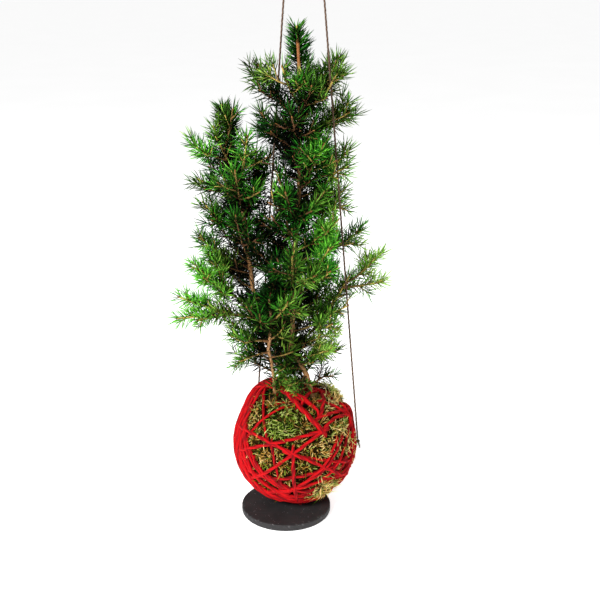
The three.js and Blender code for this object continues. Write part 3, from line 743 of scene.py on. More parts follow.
def string_line(side):
    """The tie's place, the string's way to the hook, and the string's two ends."""
    tie = tie_place(side)
    way = unit(HOOK - tie)
    start = tie + way * (KNOT_RADIUS + GAP)
    return tie, way, start, tie + way * (STRING_TOP - tie[2]) / way[2]


def twine(centres, radius, closed=False):
    """A twine of twisted plies, and how far each of its points stands out of the grooves, which sets their
    painted shade.
    """
    line = Line(centres)
    turns = line.length / TWINE_PITCH
    if closed:
        turns = round(turns)
    twist = TURN * turns * line.travel / line.length / TWINE_PLIES
    lobe = np.cos(TWINE_PLIES * (angles_round(TWINE_SIDES)[None] - twist[:, None]))
    points, triangles = tube(centres, radius * (0.9 + 0.13 * lobe), TWINE_SIDES, closed)
    depth = 0.25 + 0.2 * lobe.ravel()
    return points, triangles, np.concatenate([depth, np.full(len(points) - len(depth), 0.3)])


def hairs(line, count, radius, rng, length=HAIR_LENGTH, width=HAIR_WIDTH):
    """Loose fibres that stand off a twine or yarn."""
    parts = rng.uniform(0, 1, count)
    ways = line.way(parts)
    first, second = cross_axes(ways)
    angle = rng.uniform(0, TURN, (count, 1))
    out = np.cos(angle) * first + np.sin(angle) * second
    ways = unit(out + rng.uniform(-1.6, 1.6, (count, 1)) * ways)
    bends = 0.5 * unit(rng.normal(size=(count, 3)))
    lengths = length * rng.uniform(0.4, 1.2, count)
    feet = line.at(parts) + out * radius * 0.8
    return blades(feet, ways, bends, lengths, np.full(count, width), [(0.0, 1.0), (0.5, 0.8)], 3)[:2]


def turned(points, way):
    """Points made along +Z, turned to stand along way."""
    first, second = cross_axes(way[None])
    return np.asarray(points) @ np.stack([first[0], second[0], way])


def knot(way):
    """The line of an overhand knot drawn tight: a closed trefoil."""
    turn = angles_round(60)
    x = np.sin(turn) + 2 * np.sin(2 * turn)
    y = np.cos(turn) - 2 * np.cos(2 * turn)
    return turned(KNOT_SIZE * np.stack([x, y, -1.3 * np.sin(3 * turn)], -1), way)


class KOKEDAMA_OT_strings(bpy.types.Operator):
    """Ties the two jute strings to the yarn and ends each in a knot and a small loop"""

    bl_idname = "kokedama.strings"
    bl_label = "Jute strings"

    def execute(self, context):
        radius = context.scene.kokedama_sizes.string_diameter / MM / 2
        jute = material_for(twisted_jute, context.scene.kokedama_colours)
        for number, side in enumerate(("left", "right")):
            rng = np.random.default_rng(40 + number)
            tie, way, start, end = string_line(side)
            length = float(np.linalg.norm(end - start))
            centres = start + np.linspace(0, 1, round(length / TWINE_STEP))[:, None] * (end - start)
            heap = Heap()
            heap.add(*twine(centres, radius))
            string = heap.piece(f"twine_{side}", [jute], "jute", [f"string_{side}"])

            heap = Heap()
            heap.add(*hairs(Line(centres), STRING_HAIRS, radius, rng), HAIR_REACH)
            loose = heap.piece(f"twine_hairs_{side}", [jute], "jute")

            heap = Heap()
            heap.add(*twine(tie + knot(way), KNOT_SHARE * radius, True))
            self.add_tails(heap, tie, way, radius, rng)
            heap.piece(f"hitch_{side}", [jute], "jute", [f"tie_{side}"])

            heap = Heap()
            top = end + way * (KNOT_RADIUS + GAP)
            heap.add(*twine(top + knot(way), KNOT_SHARE * radius, True))
            turn = angles_round(72)
            ring = EYE_RADIUS * np.stack([0.8 * np.sin(turn), 0 * turn, 1 - np.cos(turn)], -1)
            heap.add(*twine(top + turned(ring + radius * UP, way), radius, True))
            line = Line(top + turned(ring, way))
            heap.add(*hairs(line, LOOP_HAIRS, radius, rng), HAIR_REACH)
            loop = heap.piece(f"loop_{side}", [jute], "jute", [f"eye_{side}"])
        return {"FINISHED"}

    def add_tails(self, heap, tie, way, radius, rng):
        """The three loose ends below the knot at the ball."""
        out = unit(tie - BALL)
        sideways = unit(np.cross(out, UP))
        part = np.linspace(0, 1, 12)[:, None]
        for tail in range(3):
            drop = unit(0.25 * out - 0.7 * way + (tail - 1) * 0.6 * sideways)
            limp = tie + drop * part * (4 + tail) - UP * 1.5 * part**2
            heap.add(*twine(limp, TAIL_SHARE * radius))
            heap.add(*hairs(Line(limp), TAIL_HAIRS, 0.5 * radius, rng, 3.0), HAIR_REACH)


# Plate

PLATE_SIDES = 180
WORN_RIM = 4
CHIP_DEPTH = 0.6
NIBBLE_DEPTH = 0.12
WAVINESS = 0.06


class KOKEDAMA_OT_plate(bpy.types.Operator):
    """Makes the slate plate with its worn and chipped edge"""

    bl_idname = "kokedama.plate"
    bl_label = "Slate plate"

    def execute(self, context):
        radius, thickness, edge = PLATE["radius"], PLATE["thickness"], PLATE["edge"]
        profile = [(r, thickness) for r in np.linspace(2, radius - edge, 16)]
        for a in np.linspace(0.25, math.pi / 2, 5):
            profile.append((radius - edge + edge * math.sin(a), thickness - edge + edge * math.cos(a)))
        profile += [(radius, z) for z in np.linspace(thickness - edge, edge, 5)[1:]]
        profile += [(radius - 0.3, 0.3), (radius - edge, 0.0), (radius / 2, 0.0), (2, 0.0)]
        turn = angles_round(PLATE_SIDES)
        points = np.array([[(r * math.cos(a), r * math.sin(a), z) for a in turn] for r, z in profile])
        far = np.linalg.norm(points[..., :2], axis=-1, keepdims=True)
        rimward = smooth((far - radius + WORN_RIM) / WORN_RIM)
        chip = smooth((ripple(points, 4, 3)[..., None] - 1.0) * 3) * rimward
        chip *= smooth(points[..., 2:] / thickness * 2 - 0.6)
        nibbled = ripple(points, 2.5, 4)[..., None] * rimward * NIBBLE_DEPTH
        outwards = np.concatenate([points[..., :2] / np.maximum(far, 1e-9), 0 * far], -1)
        points = points - outwards * (CHIP_DEPTH * chip + np.abs(nibbled)) - UP * CHIP_DEPTH / 2 * chip
        points[..., 2] += WAVINESS * ripple(points, 16, 5) * (points[..., 2] > 1)
        points[..., 2] = np.clip(points[..., 2], 0, thickness + 0.05)
        heap = Heap()
        ends = [[0, 0, points[0, :, 2].mean()], [0, 0, 0]]
        heap.add(*capped(points, ends), tone=np.concatenate([0.5 * chip.ravel(), [0, 0]]))
        slate = material_for(honed_slate, context.scene.kokedama_colours)
        heap.piece("slate_plate", [slate], "plate", ["plate"])
        return {"FINISHED"}


# Ball: soil, wool and moss, round the ball's centre


def on_soil(right, back, margin=0.0):
    """Places on the soil, by their shares of the way from the opening's middle to its rim."""
    x = OPENING["x"] + (OPENING["half_length"] + margin) * right
    y = OPENING["y"] + (OPENING["half_width"] + margin) * back
    return np.stack([x, y, np.sqrt(SOIL_RADIUS**2 - x**2 - y**2)], -1)


def from_rim(angles, part, pole):
    """Directions from the opening's rim (part 0) to the pole (part 1)."""
    rim = unit(on_soil(np.cos(angles), np.sin(angles)))
    swing = np.arccos(np.clip(rim @ pole, -1, 1))[:, None]
    square = unit(pole - rim * (rim @ pole)[:, None])
    return rim * np.cos(swing * part) + square * np.sin(swing * part)


def in_opening(ways, margin=0.0):
    """Which directions from the ball's centre pass through the opening."""
    x = SOIL_RADIUS * ways[:, 0] - OPENING["x"]
    y = SOIL_RADIUS * ways[:, 1] - OPENING["y"]
    across = (x / (OPENING["half_length"] + margin)) ** 2 + (y / (OPENING["half_width"] + margin)) ** 2
    return (across < 1) & (ways[:, 2] > 0)


def shoulder(ways):
    """How far the ball stands out beyond its round shape in each direction."""
    raised = np.zeros(ways.shape[:-1])
    for heading, elevation, width, height in SHOULDERS:
        apart = np.arccos(np.clip(ways @ direction(heading, elevation), -1, 1))
        raised = np.maximum(raised, height * smooth(1 - apart / width))
    return raised


def within(places, ways):
    """How far inside one of the places each direction lies, from 0 to 1."""
    inside = np.zeros(len(ways))
    for heading, elevation, width in places:
        near = ways @ direction(heading, elevation) - math.cos(width)
        inside = np.maximum(inside, smooth(near * 9))
    return inside


YARN_STEPS = 216
YARN_SIDES = 9
YARN_PLIES = 2
YARN_PITCH = 15.0
FUZZ_HAIRS = 150
HIGHEST_YARN = 61.6

# How near an earlier strand has to be for a turn to rise over it, and how high it then rises, in
# radii of the turn.
CROSSING_REACH = 1.7
CROSSING_LIFT = 1.3

# Degrees over which a turn sinks into the moss and how deep it then lies, and the steps on each side
# over which a hump is widened and evened.
SINK_DEGREES = 7
SUNK_DEPTH = 5.5
HUMP_STEPS = 3
EVEN_STEPS = 4


def yarn_turn(number):
    """One turn's directions from the ball's centre, and how far each has sunk into the moss."""
    heading, elevation, offset, _, sunk_from, sunk_to = YARN_TURNS[number]
    normal = direction(heading, elevation)
    first = unit(np.cross(UP, normal))
    second = np.cross(normal, first)
    degrees = 360 * np.arange(YARN_STEPS) / YARN_STEPS
    angles = np.radians(degrees)[:, None]
    radius = math.sqrt(YARN_RADIUS**2 - offset**2)
    rng = np.random.default_rng(60 + number)
    sway = 0.6 * np.sin(angles * rng.integers(2, 4) + rng.uniform(0, 6)) + 0.3 * np.sin(angles * 5)
    points = (offset + sway) * normal + radius * (np.cos(angles) * first + np.sin(angles) * second)
    middle, half = (sunk_from + sunk_to) / 2, (sunk_to - sunk_from) / 2
    apart = np.abs((degrees - middle + 180) % 360 - 180)
    ways = unit(points)
    return ways, np.maximum(smooth((half - apart) / SINK_DEGREES), within(OVERGROWN_PLACES, ways))


def tree_of(ways):
    """A search tree of directions, as points at the yarn's radius."""
    tree = KDTree(len(ways))
    for index, way in enumerate(ways):
        tree.insert(Vector(way * YARN_RADIUS), index)
    tree.balance()
    return tree


def wound_yarn(radius):
    """Centres of every turn: a turn that crosses an earlier one rises over it in a low hump."""
    turns, laid = [], []
    for number, row in enumerate(YARN_TURNS):
        ways, sunk = yarn_turn(number)
        own = radius * row[3]
        raised = shoulder(ways)
        height = YARN_RADIUS + own - radius + raised
        if laid:
            probe = tree_of([way for way, _ in laid])
            for step, way in enumerate(ways):
                for _, index, apart in probe.find_range(Vector(way * YARN_RADIUS), CROSSING_REACH * own):
                    rounded = math.sqrt(max(0.0, 1 - (apart / (2.0 * own)) ** 2))
                    lift = laid[index][1] + CROSSING_LIFT * own * rounded
                    height[step] = max(height[step], min(lift, HIGHEST_YARN + raised[step]))
            wide = height
            for shift in range(-HUMP_STEPS, HUMP_STEPS + 1):
                wide = np.maximum(wide, np.roll(height, shift) - 0.12 * shift**2)
            evened = range(-EVEN_STEPS, EVEN_STEPS + 1)
            height = sum(np.roll(wide, shift) for shift in evened) / len(evened)
        height = height * (1 - sunk) + (YARN_RADIUS - SUNK_DEPTH + raised) * sunk
        shown = sunk < 0.5
        laid.extend(zip(ways[shown], height[shown]))
        turns.append((ways * height[:, None], own))
    return turns


def yarn_tree(turns):
    """A search tree of the strands that show."""
    centres = np.concatenate([centres for centres, _ in turns])
    far = np.linalg.norm(centres, axis=1)
    return tree_of(unit(centres[far - shoulder(unit(centres)) > YARN_RADIUS - SUNK_DEPTH / 2]))


def clear_of_yarn(tree, ways):
    """The distance from each direction to the nearest strand, and the way from that strand."""
    found = [tree.find(Vector(way * YARN_RADIUS)) for way in ways]
    nearest = np.array([place for place, _, _ in found])
    apart = np.array([distance for _, _, distance in found])
    return apart, unit(ways * YARN_RADIUS - nearest + 1e-6)


def plate_floor(points, clear):
    """Points round the ball's centre, kept that far above the plate."""
    held = np.array(points)
    held[..., 2] = np.maximum(held[..., 2], PLATE["thickness"] + clear - BALL[2])
    return held


PRESSED_RADIUS = 57.0


def mat_radius(tree, ways):
    """The moss mat's radius: pressed in under the strands and bulging between them."""
    apart, _ = clear_of_yarn(tree, ways)
    coarse, fine = ripple(ways * MOSS_RADIUS, 9, 11), ripple(ways * MOSS_RADIUS, 3, 12)
    return PRESSED_RADIUS + 2.0 * smooth((apart - 1.2) / 5) + 0.6 * coarse + 0.4 * fine + shoulder(ways)


SOIL_SIDES = 120
CRUMBS = 1500
ROOTS = 140


class KOKEDAMA_OT_soil(bpy.types.Operator):
    """Makes the ball of soil, with crumbs and fine roots in the moss's opening"""

    bl_idname = "kokedama.soil"
    bl_label = "Soil ball"

    def execute(self, context):
        rng = np.random.default_rng(7)
        heap = Heap()
        angles = angles_round(SOIL_SIDES)
        ways = [from_rim(angles, p, UP) for p in np.linspace(0.97, 0, 26)]
        ways = np.array(ways + [from_rim(angles, p, -UP) for p in np.linspace(0.03, 0.97, 24)])
        crumbly = smooth((ways[..., 2] - 0.78) / 0.1)
        rough = 0.9 * ripple(ways * SOIL_RADIUS, 6, 21) + 0.6 * ripple(ways * SOIL_RADIUS, 2.4, 22)
        rings = ways * (SOIL_RADIUS - 0.4 + crumbly * rough)[..., None]
        points, triangles = capped(rings, [rings[0].mean(0), rings[-1].mean(0)])
        heap.add(BALL + points, triangles, tone=0.45)

        place = rng.uniform(-1, 1, (CRUMBS * 2, 2))
        place = place[np.linalg.norm(place, axis=1) < 1][:CRUMBS]
        feet = on_soil(*place.T, 1) - 0.3 * UP
        size = rng.uniform(0.4, 1.5, len(feet)) ** 1.5
        points, triangles, _ = blades(
            BALL + feet - unit(feet) * size[:, None] * 0.6,
            unit(feet + 22 * rng.normal(size=feet.shape)),
            0.2 * rng.normal(size=feet.shape),
            2.0 * size,
            size,
            [(0.05, 0.45), (0.35, 1.0), (0.75, 0.8)],
            5,
        )
        tone = np.repeat(rng.uniform(0.2, 0.75, len(feet)), len(points) // len(feet))
        heap.add(points, triangles, tone=tone)
        feet = feet[:ROOTS]
        flat = unit(np.cross(feet, rng.normal(size=feet.shape)))
        roots = blades(
            BALL + feet + unit(feet) * 0.8,
            flat,
            0.6 * unit(rng.normal(size=flat.shape)) + 0.2 * unit(feet),
            rng.uniform(4, 11, len(flat)),
            rng.uniform(0.15, 0.3, len(flat)),
            [(0.0, 1.0), (0.3, 0.9), (0.6, 0.7), (0.85, 0.5)],
            4,
        )
        heap.add(*roots[:2], tone=0.8)
        peat = material_for(crumbled_peat, context.scene.kokedama_colours)
        heap.piece("peat_ball", [peat], "soil", ["soil_ball"])
        return {"FINISHED"}


class KOKEDAMA_OT_yarn(bpy.types.Operator):
    """Winds the red wool round the moss, each turn a plied and slightly fuzzy strand"""

    bl_idname = "kokedama.yarn"
    bl_label = "Wool yarn"

    def execute(self, context):
        wool = material_for(felted_wool, context.scene.kokedama_colours)
        strands, fuzz = Heap(), Heap()
        turns = wound_yarn(context.scene.kokedama_sizes.yarn_diameter / MM / 2)
        for number, (centres, own) in enumerate(turns):
            rng = np.random.default_rng(80 + number)
            held = plate_floor(centres, own)
            line = Line(BALL + np.concatenate([held, held[:1]]))
            twist = angles_round(YARN_STEPS)[:, None] * round(line.length / YARN_PITCH)
            lobe = np.cos(YARN_PLIES * angles_round(YARN_SIDES)[None] - twist)
            uneven = 1 + 0.04 * ripple(held, 14, 90 + number)[:, None]
            normal = unit(held)
            ways = unit(np.roll(held, -1, 0) - np.roll(held, 1, 0))
            first = unit(normal - ways * (normal * ways).sum(-1, keepdims=True))
            radii = own * uneven * (0.95 + 0.09 * lobe)
            points, triangles = tube(held, radii, YARN_SIDES, True, first)
            # The dye differs from strand to strand, and a little painted shade darkens the strands on the
            # ball's right side; the grooves between the plies get painted shade.
            dyed = 0.46 - 0.02 * smooth((held[:, 0] + 12) / 60) + rng.uniform(-0.22, 0.2)
            groove = (0.22 + 0.2 * lobe).ravel()
            strands.add(BALL + points, triangles, groove, np.repeat(dyed, YARN_SIDES))
            fuzz.add(*hairs(line, FUZZ_HAIRS, own, rng, 2.2, 0.06), 0.35, 0.4)
        strands.piece("wool_strands", [wool], "yarn", ["yarn"])
        fuzz.piece("wool_fuzz", [wool], "yarn")
        return {"FINISHED"}


MAT_END = 0.99
TUFT_SHOOTS = 13
TUFT_SPREAD = 0.034
TUFT_RADIUS = 56

# Moss creeps over the soil in the opening to the right of this share of the ball's radius.
MOSSY_EAST = 0.26


class KOKEDAMA_OT_moss(bpy.types.Operator):
    """Lays the moss mat and sets it with tufts of shoots that come up between the strands"""

    bl_idname = "kokedama.moss"
    bl_label = "Moss"

    def execute(self, context):
        sizes = context.scene.kokedama_sizes
        moss = material_for(sheet_moss, context.scene.kokedama_colours)
        tree = yarn_tree(wound_yarn(sizes.yarn_diameter / MM / 2))
        self.lay_mat(tree, moss)
        self.set_shoots(tree, moss, sizes)
        return {"FINISHED"}

    def lay_mat(self, tree, moss):
        sides, down, inside = 150, 90, 12
        angles = angles_round(sides)
        outer = np.array([from_rim(angles, p, -UP) for p in np.linspace(0, MAT_END, down)])
        inner = np.array([from_rim(angles, p, -UP) for p in np.linspace(MAT_END, 0, inside)])
        radii = mat_radius(tree, outer.reshape(-1, 3)).reshape(down, sides, 1)
        rolled = smooth(np.linspace(0, 12, down))[:, None, None]
        radii = (SOIL_RADIUS + 1) * (1 - rolled) + radii * rolled
        rings = np.concatenate([plate_floor(outer * radii, 0.3), inner * (SOIL_RADIUS + 0.2)])
        triangles = rings_of_triangles(len(rings), sides, True)[:, ::-1]
        points = rings.reshape(-1, 3)
        tone = 0.66 + 0.06 * ripple(points, 12, 13) + 0.06 * ripple(points, 3, 14)
        # The mat is painted almost black with shade under the shoots, and darker still round the opening.
        reach = np.where(in_opening(unit(points), 9), 0.03, 0.05)
        heap = Heap()
        heap.add(BALL + points, triangles, reach, np.clip(tone, 0.52, 0.8))
        heap.piece("moss_mat", [moss], "moss", ["moss_cover"])

    def set_shoots(self, tree, moss, sizes):
        rng = np.random.default_rng(17)
        tufts = sizes.moss_shoots
        index = np.arange(tufts)
        z = 1 - 2 * (index + 0.5) / tufts
        flat = np.sqrt(1 - z * z)
        ways = np.stack([flat * np.cos(index * GOLDEN_ANGLE), flat * np.sin(index * GOLDEN_ANGLE), z], -1)
        ways = unit(ways + 0.035 * rng.normal(size=ways.shape))
        ways = ways[~in_opening(ways) | (ways[:, 0] > MOSSY_EAST)]
        centre = np.repeat(ways, TUFT_SHOOTS, 0)
        scatter = rng.normal(size=centre.shape)
        scatter -= centre * (scatter * centre).sum(-1, keepdims=True)
        feet_ways = unit(centre + scatter * TUFT_SPREAD)
        outwards = unit(scatter)
        apart, away = clear_of_yarn(tree, feet_ways)
        x, y = feet_ways[:, 0], feet_ways[:, 1]
        # Soil lies bare at the front of the opening, right of its middle
        earthy = in_opening(feet_ways, 8) & (np.abs(x - 0.12) < 0.17) & (y < 0.1)
        creeping = in_opening(feet_ways, -1)
        kept = (apart > 1.5) & ~(creeping & (x < MOSSY_EAST)) & ~earthy
        feet_ways, outwards, apart, away = feet_ways[kept], outwards[kept], apart[kept], away[kept]
        count = len(feet_ways)
        radii = np.where(creeping[kept], SOIL_RADIUS + 1, mat_radius(tree, feet_ways))
        free = smooth((apart - 1.2) / 4)[:, None]
        shaggy, lush = within(SHAGGY_PLACES, feet_ways), within(GREEN_PLACES, feet_ways)
        lift = rng.uniform(0.15, 0.9, (count, 1)) * (0.5 + 0.5 * free) + 0.35 * shaggy[:, None]
        ways = unit(
            feet_ways * lift + outwards * rng.uniform(0.2, 1.0, (count, 1)) + away * 0.35 * (1 - free)
        )
        curl = unit(rng.normal(size=(count, 3)))
        curl -= feet_ways * ((curl * feet_ways).sum(-1, keepdims=True) + 0.25)
        length = sizes.moss_length / MM * rng.uniform(0.45, 1.2, count) * (0.6 + 0.4 * free[:, 0])
        length *= 1 + 0.4 * shaggy
        x = feet_ways[:, 0]
        # Painted light: shoots on the ball's right side, a little on its left, and in the shaggy places
        # are made lighter, as lit edges.
        sideways = 0.34 * smooth(x / 0.9) + 0.12 * smooth(-x)
        spots = feet_ways * TUFT_RADIUS
        bright = 0.44 + 0.1 * ripple(spots, 7, 19) + 0.32 * shaggy + 0.12 * lush + sideways
        bright += np.repeat(rng.normal(0, 0.14, len(centre) // TUFT_SHOOTS), TUFT_SHOOTS)[kept]
        bright = np.clip(bright + rng.normal(0, 0.27, count) * (1 + 0.3 * shaggy), 0, 1)
        greens = 0.3 + 0.2 * ripple(spots, 22, 18) + 0.75 * lush
        tone = np.where(rng.uniform(size=count) < greens, 0.46 * bright, 0.52 + 0.48 * bright)
        points, triangles, reach = blades(
            plate_floor(feet_ways * (radii - 0.8)[:, None], 0.3),
            ways,
            curl * rng.uniform(0.3, 1.2, (count, 1)) * (1 + 0.2 * shaggy[:, None]),
            length,
            rng.uniform(0.28, 0.56, count),
            [(0.0, 0.6), (0.35, 1.0), (0.7, 0.75)],
            3,
        )
        points = BALL + plate_floor(points, 0.2)
        corners, faces = len(points) // count, len(triangles) // count
        tone = np.repeat(tone, corners)
        half = count // 2
        for part, (low, high) in enumerate(((0, half), (half, count)), 1):
            some = slice(low * corners, high * corners)
            own = triangles[low * faces : high * faces] - low * corners
            heap = Heap()
            heap.add(points[some], own, reach[some], tone[some])
            heap.piece(f"moss_shoots_{part}", [moss], "moss")


# Stems and sprays

BARK_SHARE = 0.85
ROOTED_SHARE = 0.7
SHOOT_LIFT = 0.15
NEEDLE_SLANT = 64

# A bud's rings: how far each lies beyond the twig's tip, and its radius.
BUD = [(-0.4, 0.6), (0.7, 0.95), (2.0, 0.5), (2.9, 0.12)]

# How near to a string a twig may pass, and a needle in front of a string that shows.
STRING_ROOM = 3.5
STRING_MARGIN = 1.1

# Painted shade deep in the crown: needles are darkest up to the first distance from a stem, and keep their
# own tone from the second distance farther out.
SHADED_CORE = 5
SHADE_FADE = 25

# Lengths below a stem's top where its own needles are denser and longer.
CROWN_STRETCH = 42
BLUNT_STRETCH = 20

# Sprays below this height lie over the wool, so they have fewer and shorter needles.
LOW_SPRAY = 150
LOW_NEEDLES = 0.62


def stem_radius(name, height):
    stem = STEMS[name]
    foot, top = stem["points"][0][2], stem["points"][-1][2]
    return stem["root"] + (stem["top"] - stem["root"]) * (height - foot) / (top - foot)


def on_stem(name, height):
    points = np.array(STEMS[name]["points"], float)
    return np.stack([np.interp(height, points[:, 2], points[:, k]) for k in range(3)], -1)


def foot_on_stem(name, height, heading):
    """Where a shoot with that heading comes out of a stem."""
    return on_stem(name, height) + direction(heading) * stem_radius(name, height) * ROOTED_SHARE


def twig_line(start, heading, reach, rise):
    """A twig's line leaves flat and curves upwards to its tip."""
    out = direction(heading)
    bend = start + out * reach / 2 + UP * rise / 4
    tip = start + out * reach + UP * rise
    t = np.linspace(0, 1, 201)[:, None]
    return Line((1 - t) ** 2 * start + 2 * t * (1 - t) * bend + t**2 * tip)


def side_twigs(line, heading, count):
    made = []
    for i in range(abs(count)):
        part = TWIG["first"] + TWIG["span"] * i / abs(count)
        side = (-1 if i % 2 else 1) * (1 if count > 0 else -1)
        length = TWIG["shortest"] + 0.3 * (1 - part) * line.length
        rise = length * (0.1 + 0.5 * line.way(part)[2])
        side_line = twig_line(line.at(part), heading + side * TWIG["angle"], length, rise)
        made.append({**TWIG, "line": side_line})
    return made


def branch_twigs(name, row):
    height, heading, reach, rise, count, forks = row
    way = unit(direction(heading) * reach / 2 + UP * rise / 4)
    along = unit(on_stem(name, height + 2) - on_stem(name, height - 2))
    slant = abs(way @ along)
    square = np.linalg.norm(np.cross(way, along))
    clear = (stem_radius(name, height) + GAP + BRANCH["base"] * slant) / square
    main = twig_line(on_stem(name, height) + way * clear, heading, reach, rise)
    arms = [(main, heading, count)]
    for part, fork_heading, out, up, more in forks:
        arms.append((twig_line(main.at(part), fork_heading, out, up), fork_heading, more))
    twigs = []
    for line, arm_heading, more in arms:
        twigs.append({**BRANCH, "line": line, "stem": line is main})
        twigs.extend(side_twigs(line, arm_heading, more))
    return twigs


def leader_twigs(name):
    top = np.array(STEMS[name]["points"][-1], float) + UP * (GAP + 0.5)
    leader = {**BRANCH, "line": twig_line(top, *LEADERS[name]), "base": STEMS[name]["top"]}
    return [{**leader, "bare": 0, "stem": True, "dense": 6, "past": -2, "small": True, "closing": 0.36}]


def shoot_line(start, way, length):
    """A short shoot's line: straight out along way, turning up a little."""
    t = np.linspace(0, 1, 41)[:, None]
    return Line(start + length * (t * way + SHOOT_LIFT * t**2 * UP))


def clear_of_strings(line):
    """Whether a twig passes the two strings with room to spare."""
    places = line.at(np.linspace(0, 1, 9))
    for side in TIE_ANGLES:
        tie, way, _, _ = string_line(side)
        from_tie = places - tie
        apart = np.linalg.norm(from_tie - (from_tie @ way)[:, None] * way, axis=1)
        if apart.min() < STRING_ROOM:
            return False
    return True


def hides_string(feet, tips):
    """Which straight pieces cross a string on the camera's side where the string is seen."""
    hidden = np.zeros(len(feet), bool)
    for side, spans in STRING_SHOWS.items():
        tie, way, _, _ = string_line(side)
        foot_off, tip_off = (
            ends[:, 0] - tie[0] - (ends[:, 2] - tie[2]) * way[0] / way[2] for ends in (feet, tips)
        )
        nearest = np.minimum(np.abs(foot_off), np.abs(tip_off))
        near = (foot_off * tip_off < 0) | (nearest < STRING_MARGIN)
        shown = sum(((feet[:, 2] > low) & (feet[:, 2] < high)) for low, high in spans) > 0
        hidden |= near & shown & (np.minimum(feet[:, 1], tips[:, 1]) < tie[1] + 1)
    return hidden


def filling_twigs(line, rng):
    """Short twigs that stand off a branch in every direction and fill it out to a bushy spray."""
    made = []
    count = round(line.length / 12)
    roll = rng.uniform(0, TURN)
    for i in range(count):
        part = 0.3 + 0.62 * (i + 0.5) / count
        way = line.way(part)
        first, second = cross_axes(way[None])
        angle = roll + GOLDEN_ANGLE * i
        out = unit(math.cos(angle) * first[0] + math.sin(angle) * second[0] + 0.35 * UP)
        slant = math.radians(rng.uniform(38, 55))
        length = rng.uniform(9, 16) * (1.15 - 0.4 * part)
        side_line = shoot_line(line.at(part), unit(way * math.cos(slant) + out * math.sin(slant)), length)
        if clear_of_strings(side_line):
            made.append({**TWIG, "base": 0.8, "tip": 0.5, "bare": 4, "line": side_line, "small": True})
    return made


def stem_shoots(name, rng):
    """Shoots straight off a stem between its branches, each with two or three twigs of its own."""
    low, high, count = STEMS[name]["shoots"]
    made = []
    for i in range(count):
        part = (i + 0.5) / count
        height = low + (high - low) * part
        heading = math.degrees(GOLDEN_ANGLE) * i + rng.uniform(-25, 25)
        reach = np.interp(part, [0, 0.45, 1], STEMS[name]["spread"]) * rng.uniform(0.7, 1.1)
        start = foot_on_stem(name, height, heading)
        line = twig_line(start, heading, reach, reach * rng.uniform(0.35, 0.95))
        front = -math.sin(math.radians(heading))
        bare_front = front > 0.8 and height < 290
        if bare_front or not clear_of_strings(line) or hides_string(line.at([0.0]), line.at([1.0]))[0]:
            continue
        twig = {**BRANCH, "base": 1.2, "tip": 0.7, "bare": 8, "line": line}
        made.extend({**each, "front": front} for each in (twig, *filling_twigs(line, rng)))
    return made


def add_bark(heap, twig, youth, rng):
    """A twig's bark: a tapering tube with a collar of bud scales at its foot and a bud at its tip."""
    line = twig["line"]
    rings, sides = max(4, round(line.length / 5)), 6
    parts = np.linspace(0, 1, rings)
    centres = line.at(parts)
    if twig.get("stem"):
        centres = np.concatenate([centres[:1] - line.way(0) * 2.2, centres])
        parts = np.concatenate([[0.0], parts])
    radii = (twig["base"] + (twig["tip"] - twig["base"]) * parts) * BARK_SHARE
    collar = np.exp(-(((parts * line.length - 1.5) / 1.6) ** 2))
    radii = radii * (1 + 0.5 * collar) * (1 + 0.06 * rng.normal(size=len(parts)))
    rust = to_corners(0.06 + 0.34 * collar, sides)
    young = to_corners(youth * smooth(1.3 * parts), sides)
    heap.add(*tube(centres, radii, sides), young, rust)
    if not twig.get("small"):
        tip, way = line.at(1.0), line.way(1.0)
        heap.add(*tube([tip + way * out for out, _ in BUD], [wide for _, wide in BUD], 5), 0.3, 0.6)


def crown_depth(places):
    """How deep in the crown each place lies: 1 at a stem, falling to 0 beyond 30 mm from all. It sets the
    painted shade of the inner needles.
    """
    nearest = np.full(len(places), 99.0)
    for name, stem in STEMS.items():
        height = np.clip(places[:, 2], stem["points"][0][2], stem["points"][-1][2])
        nearest = np.minimum(nearest, np.linalg.norm(places - on_stem(name, height), axis=1))
    return 1 - smooth((nearest - SHADED_CORE) / SHADE_FADE)


def in_crown(places):
    """How much lighter, in painted light, or darker, in painted shade, the needles are at each place than
    the rest, and how much more olive.
    """
    light_and_shade, drier = np.zeros(len(places)), np.zeros(len(places))
    for x, z, radius, light, dry in CROWN_PLACES:
        near = smooth(1.5 - np.hypot(places[:, 0] - x, places[:, 2] - z) / radius)
        light_and_shade += light * near
        drier += dry * near
    return light_and_shade, drier


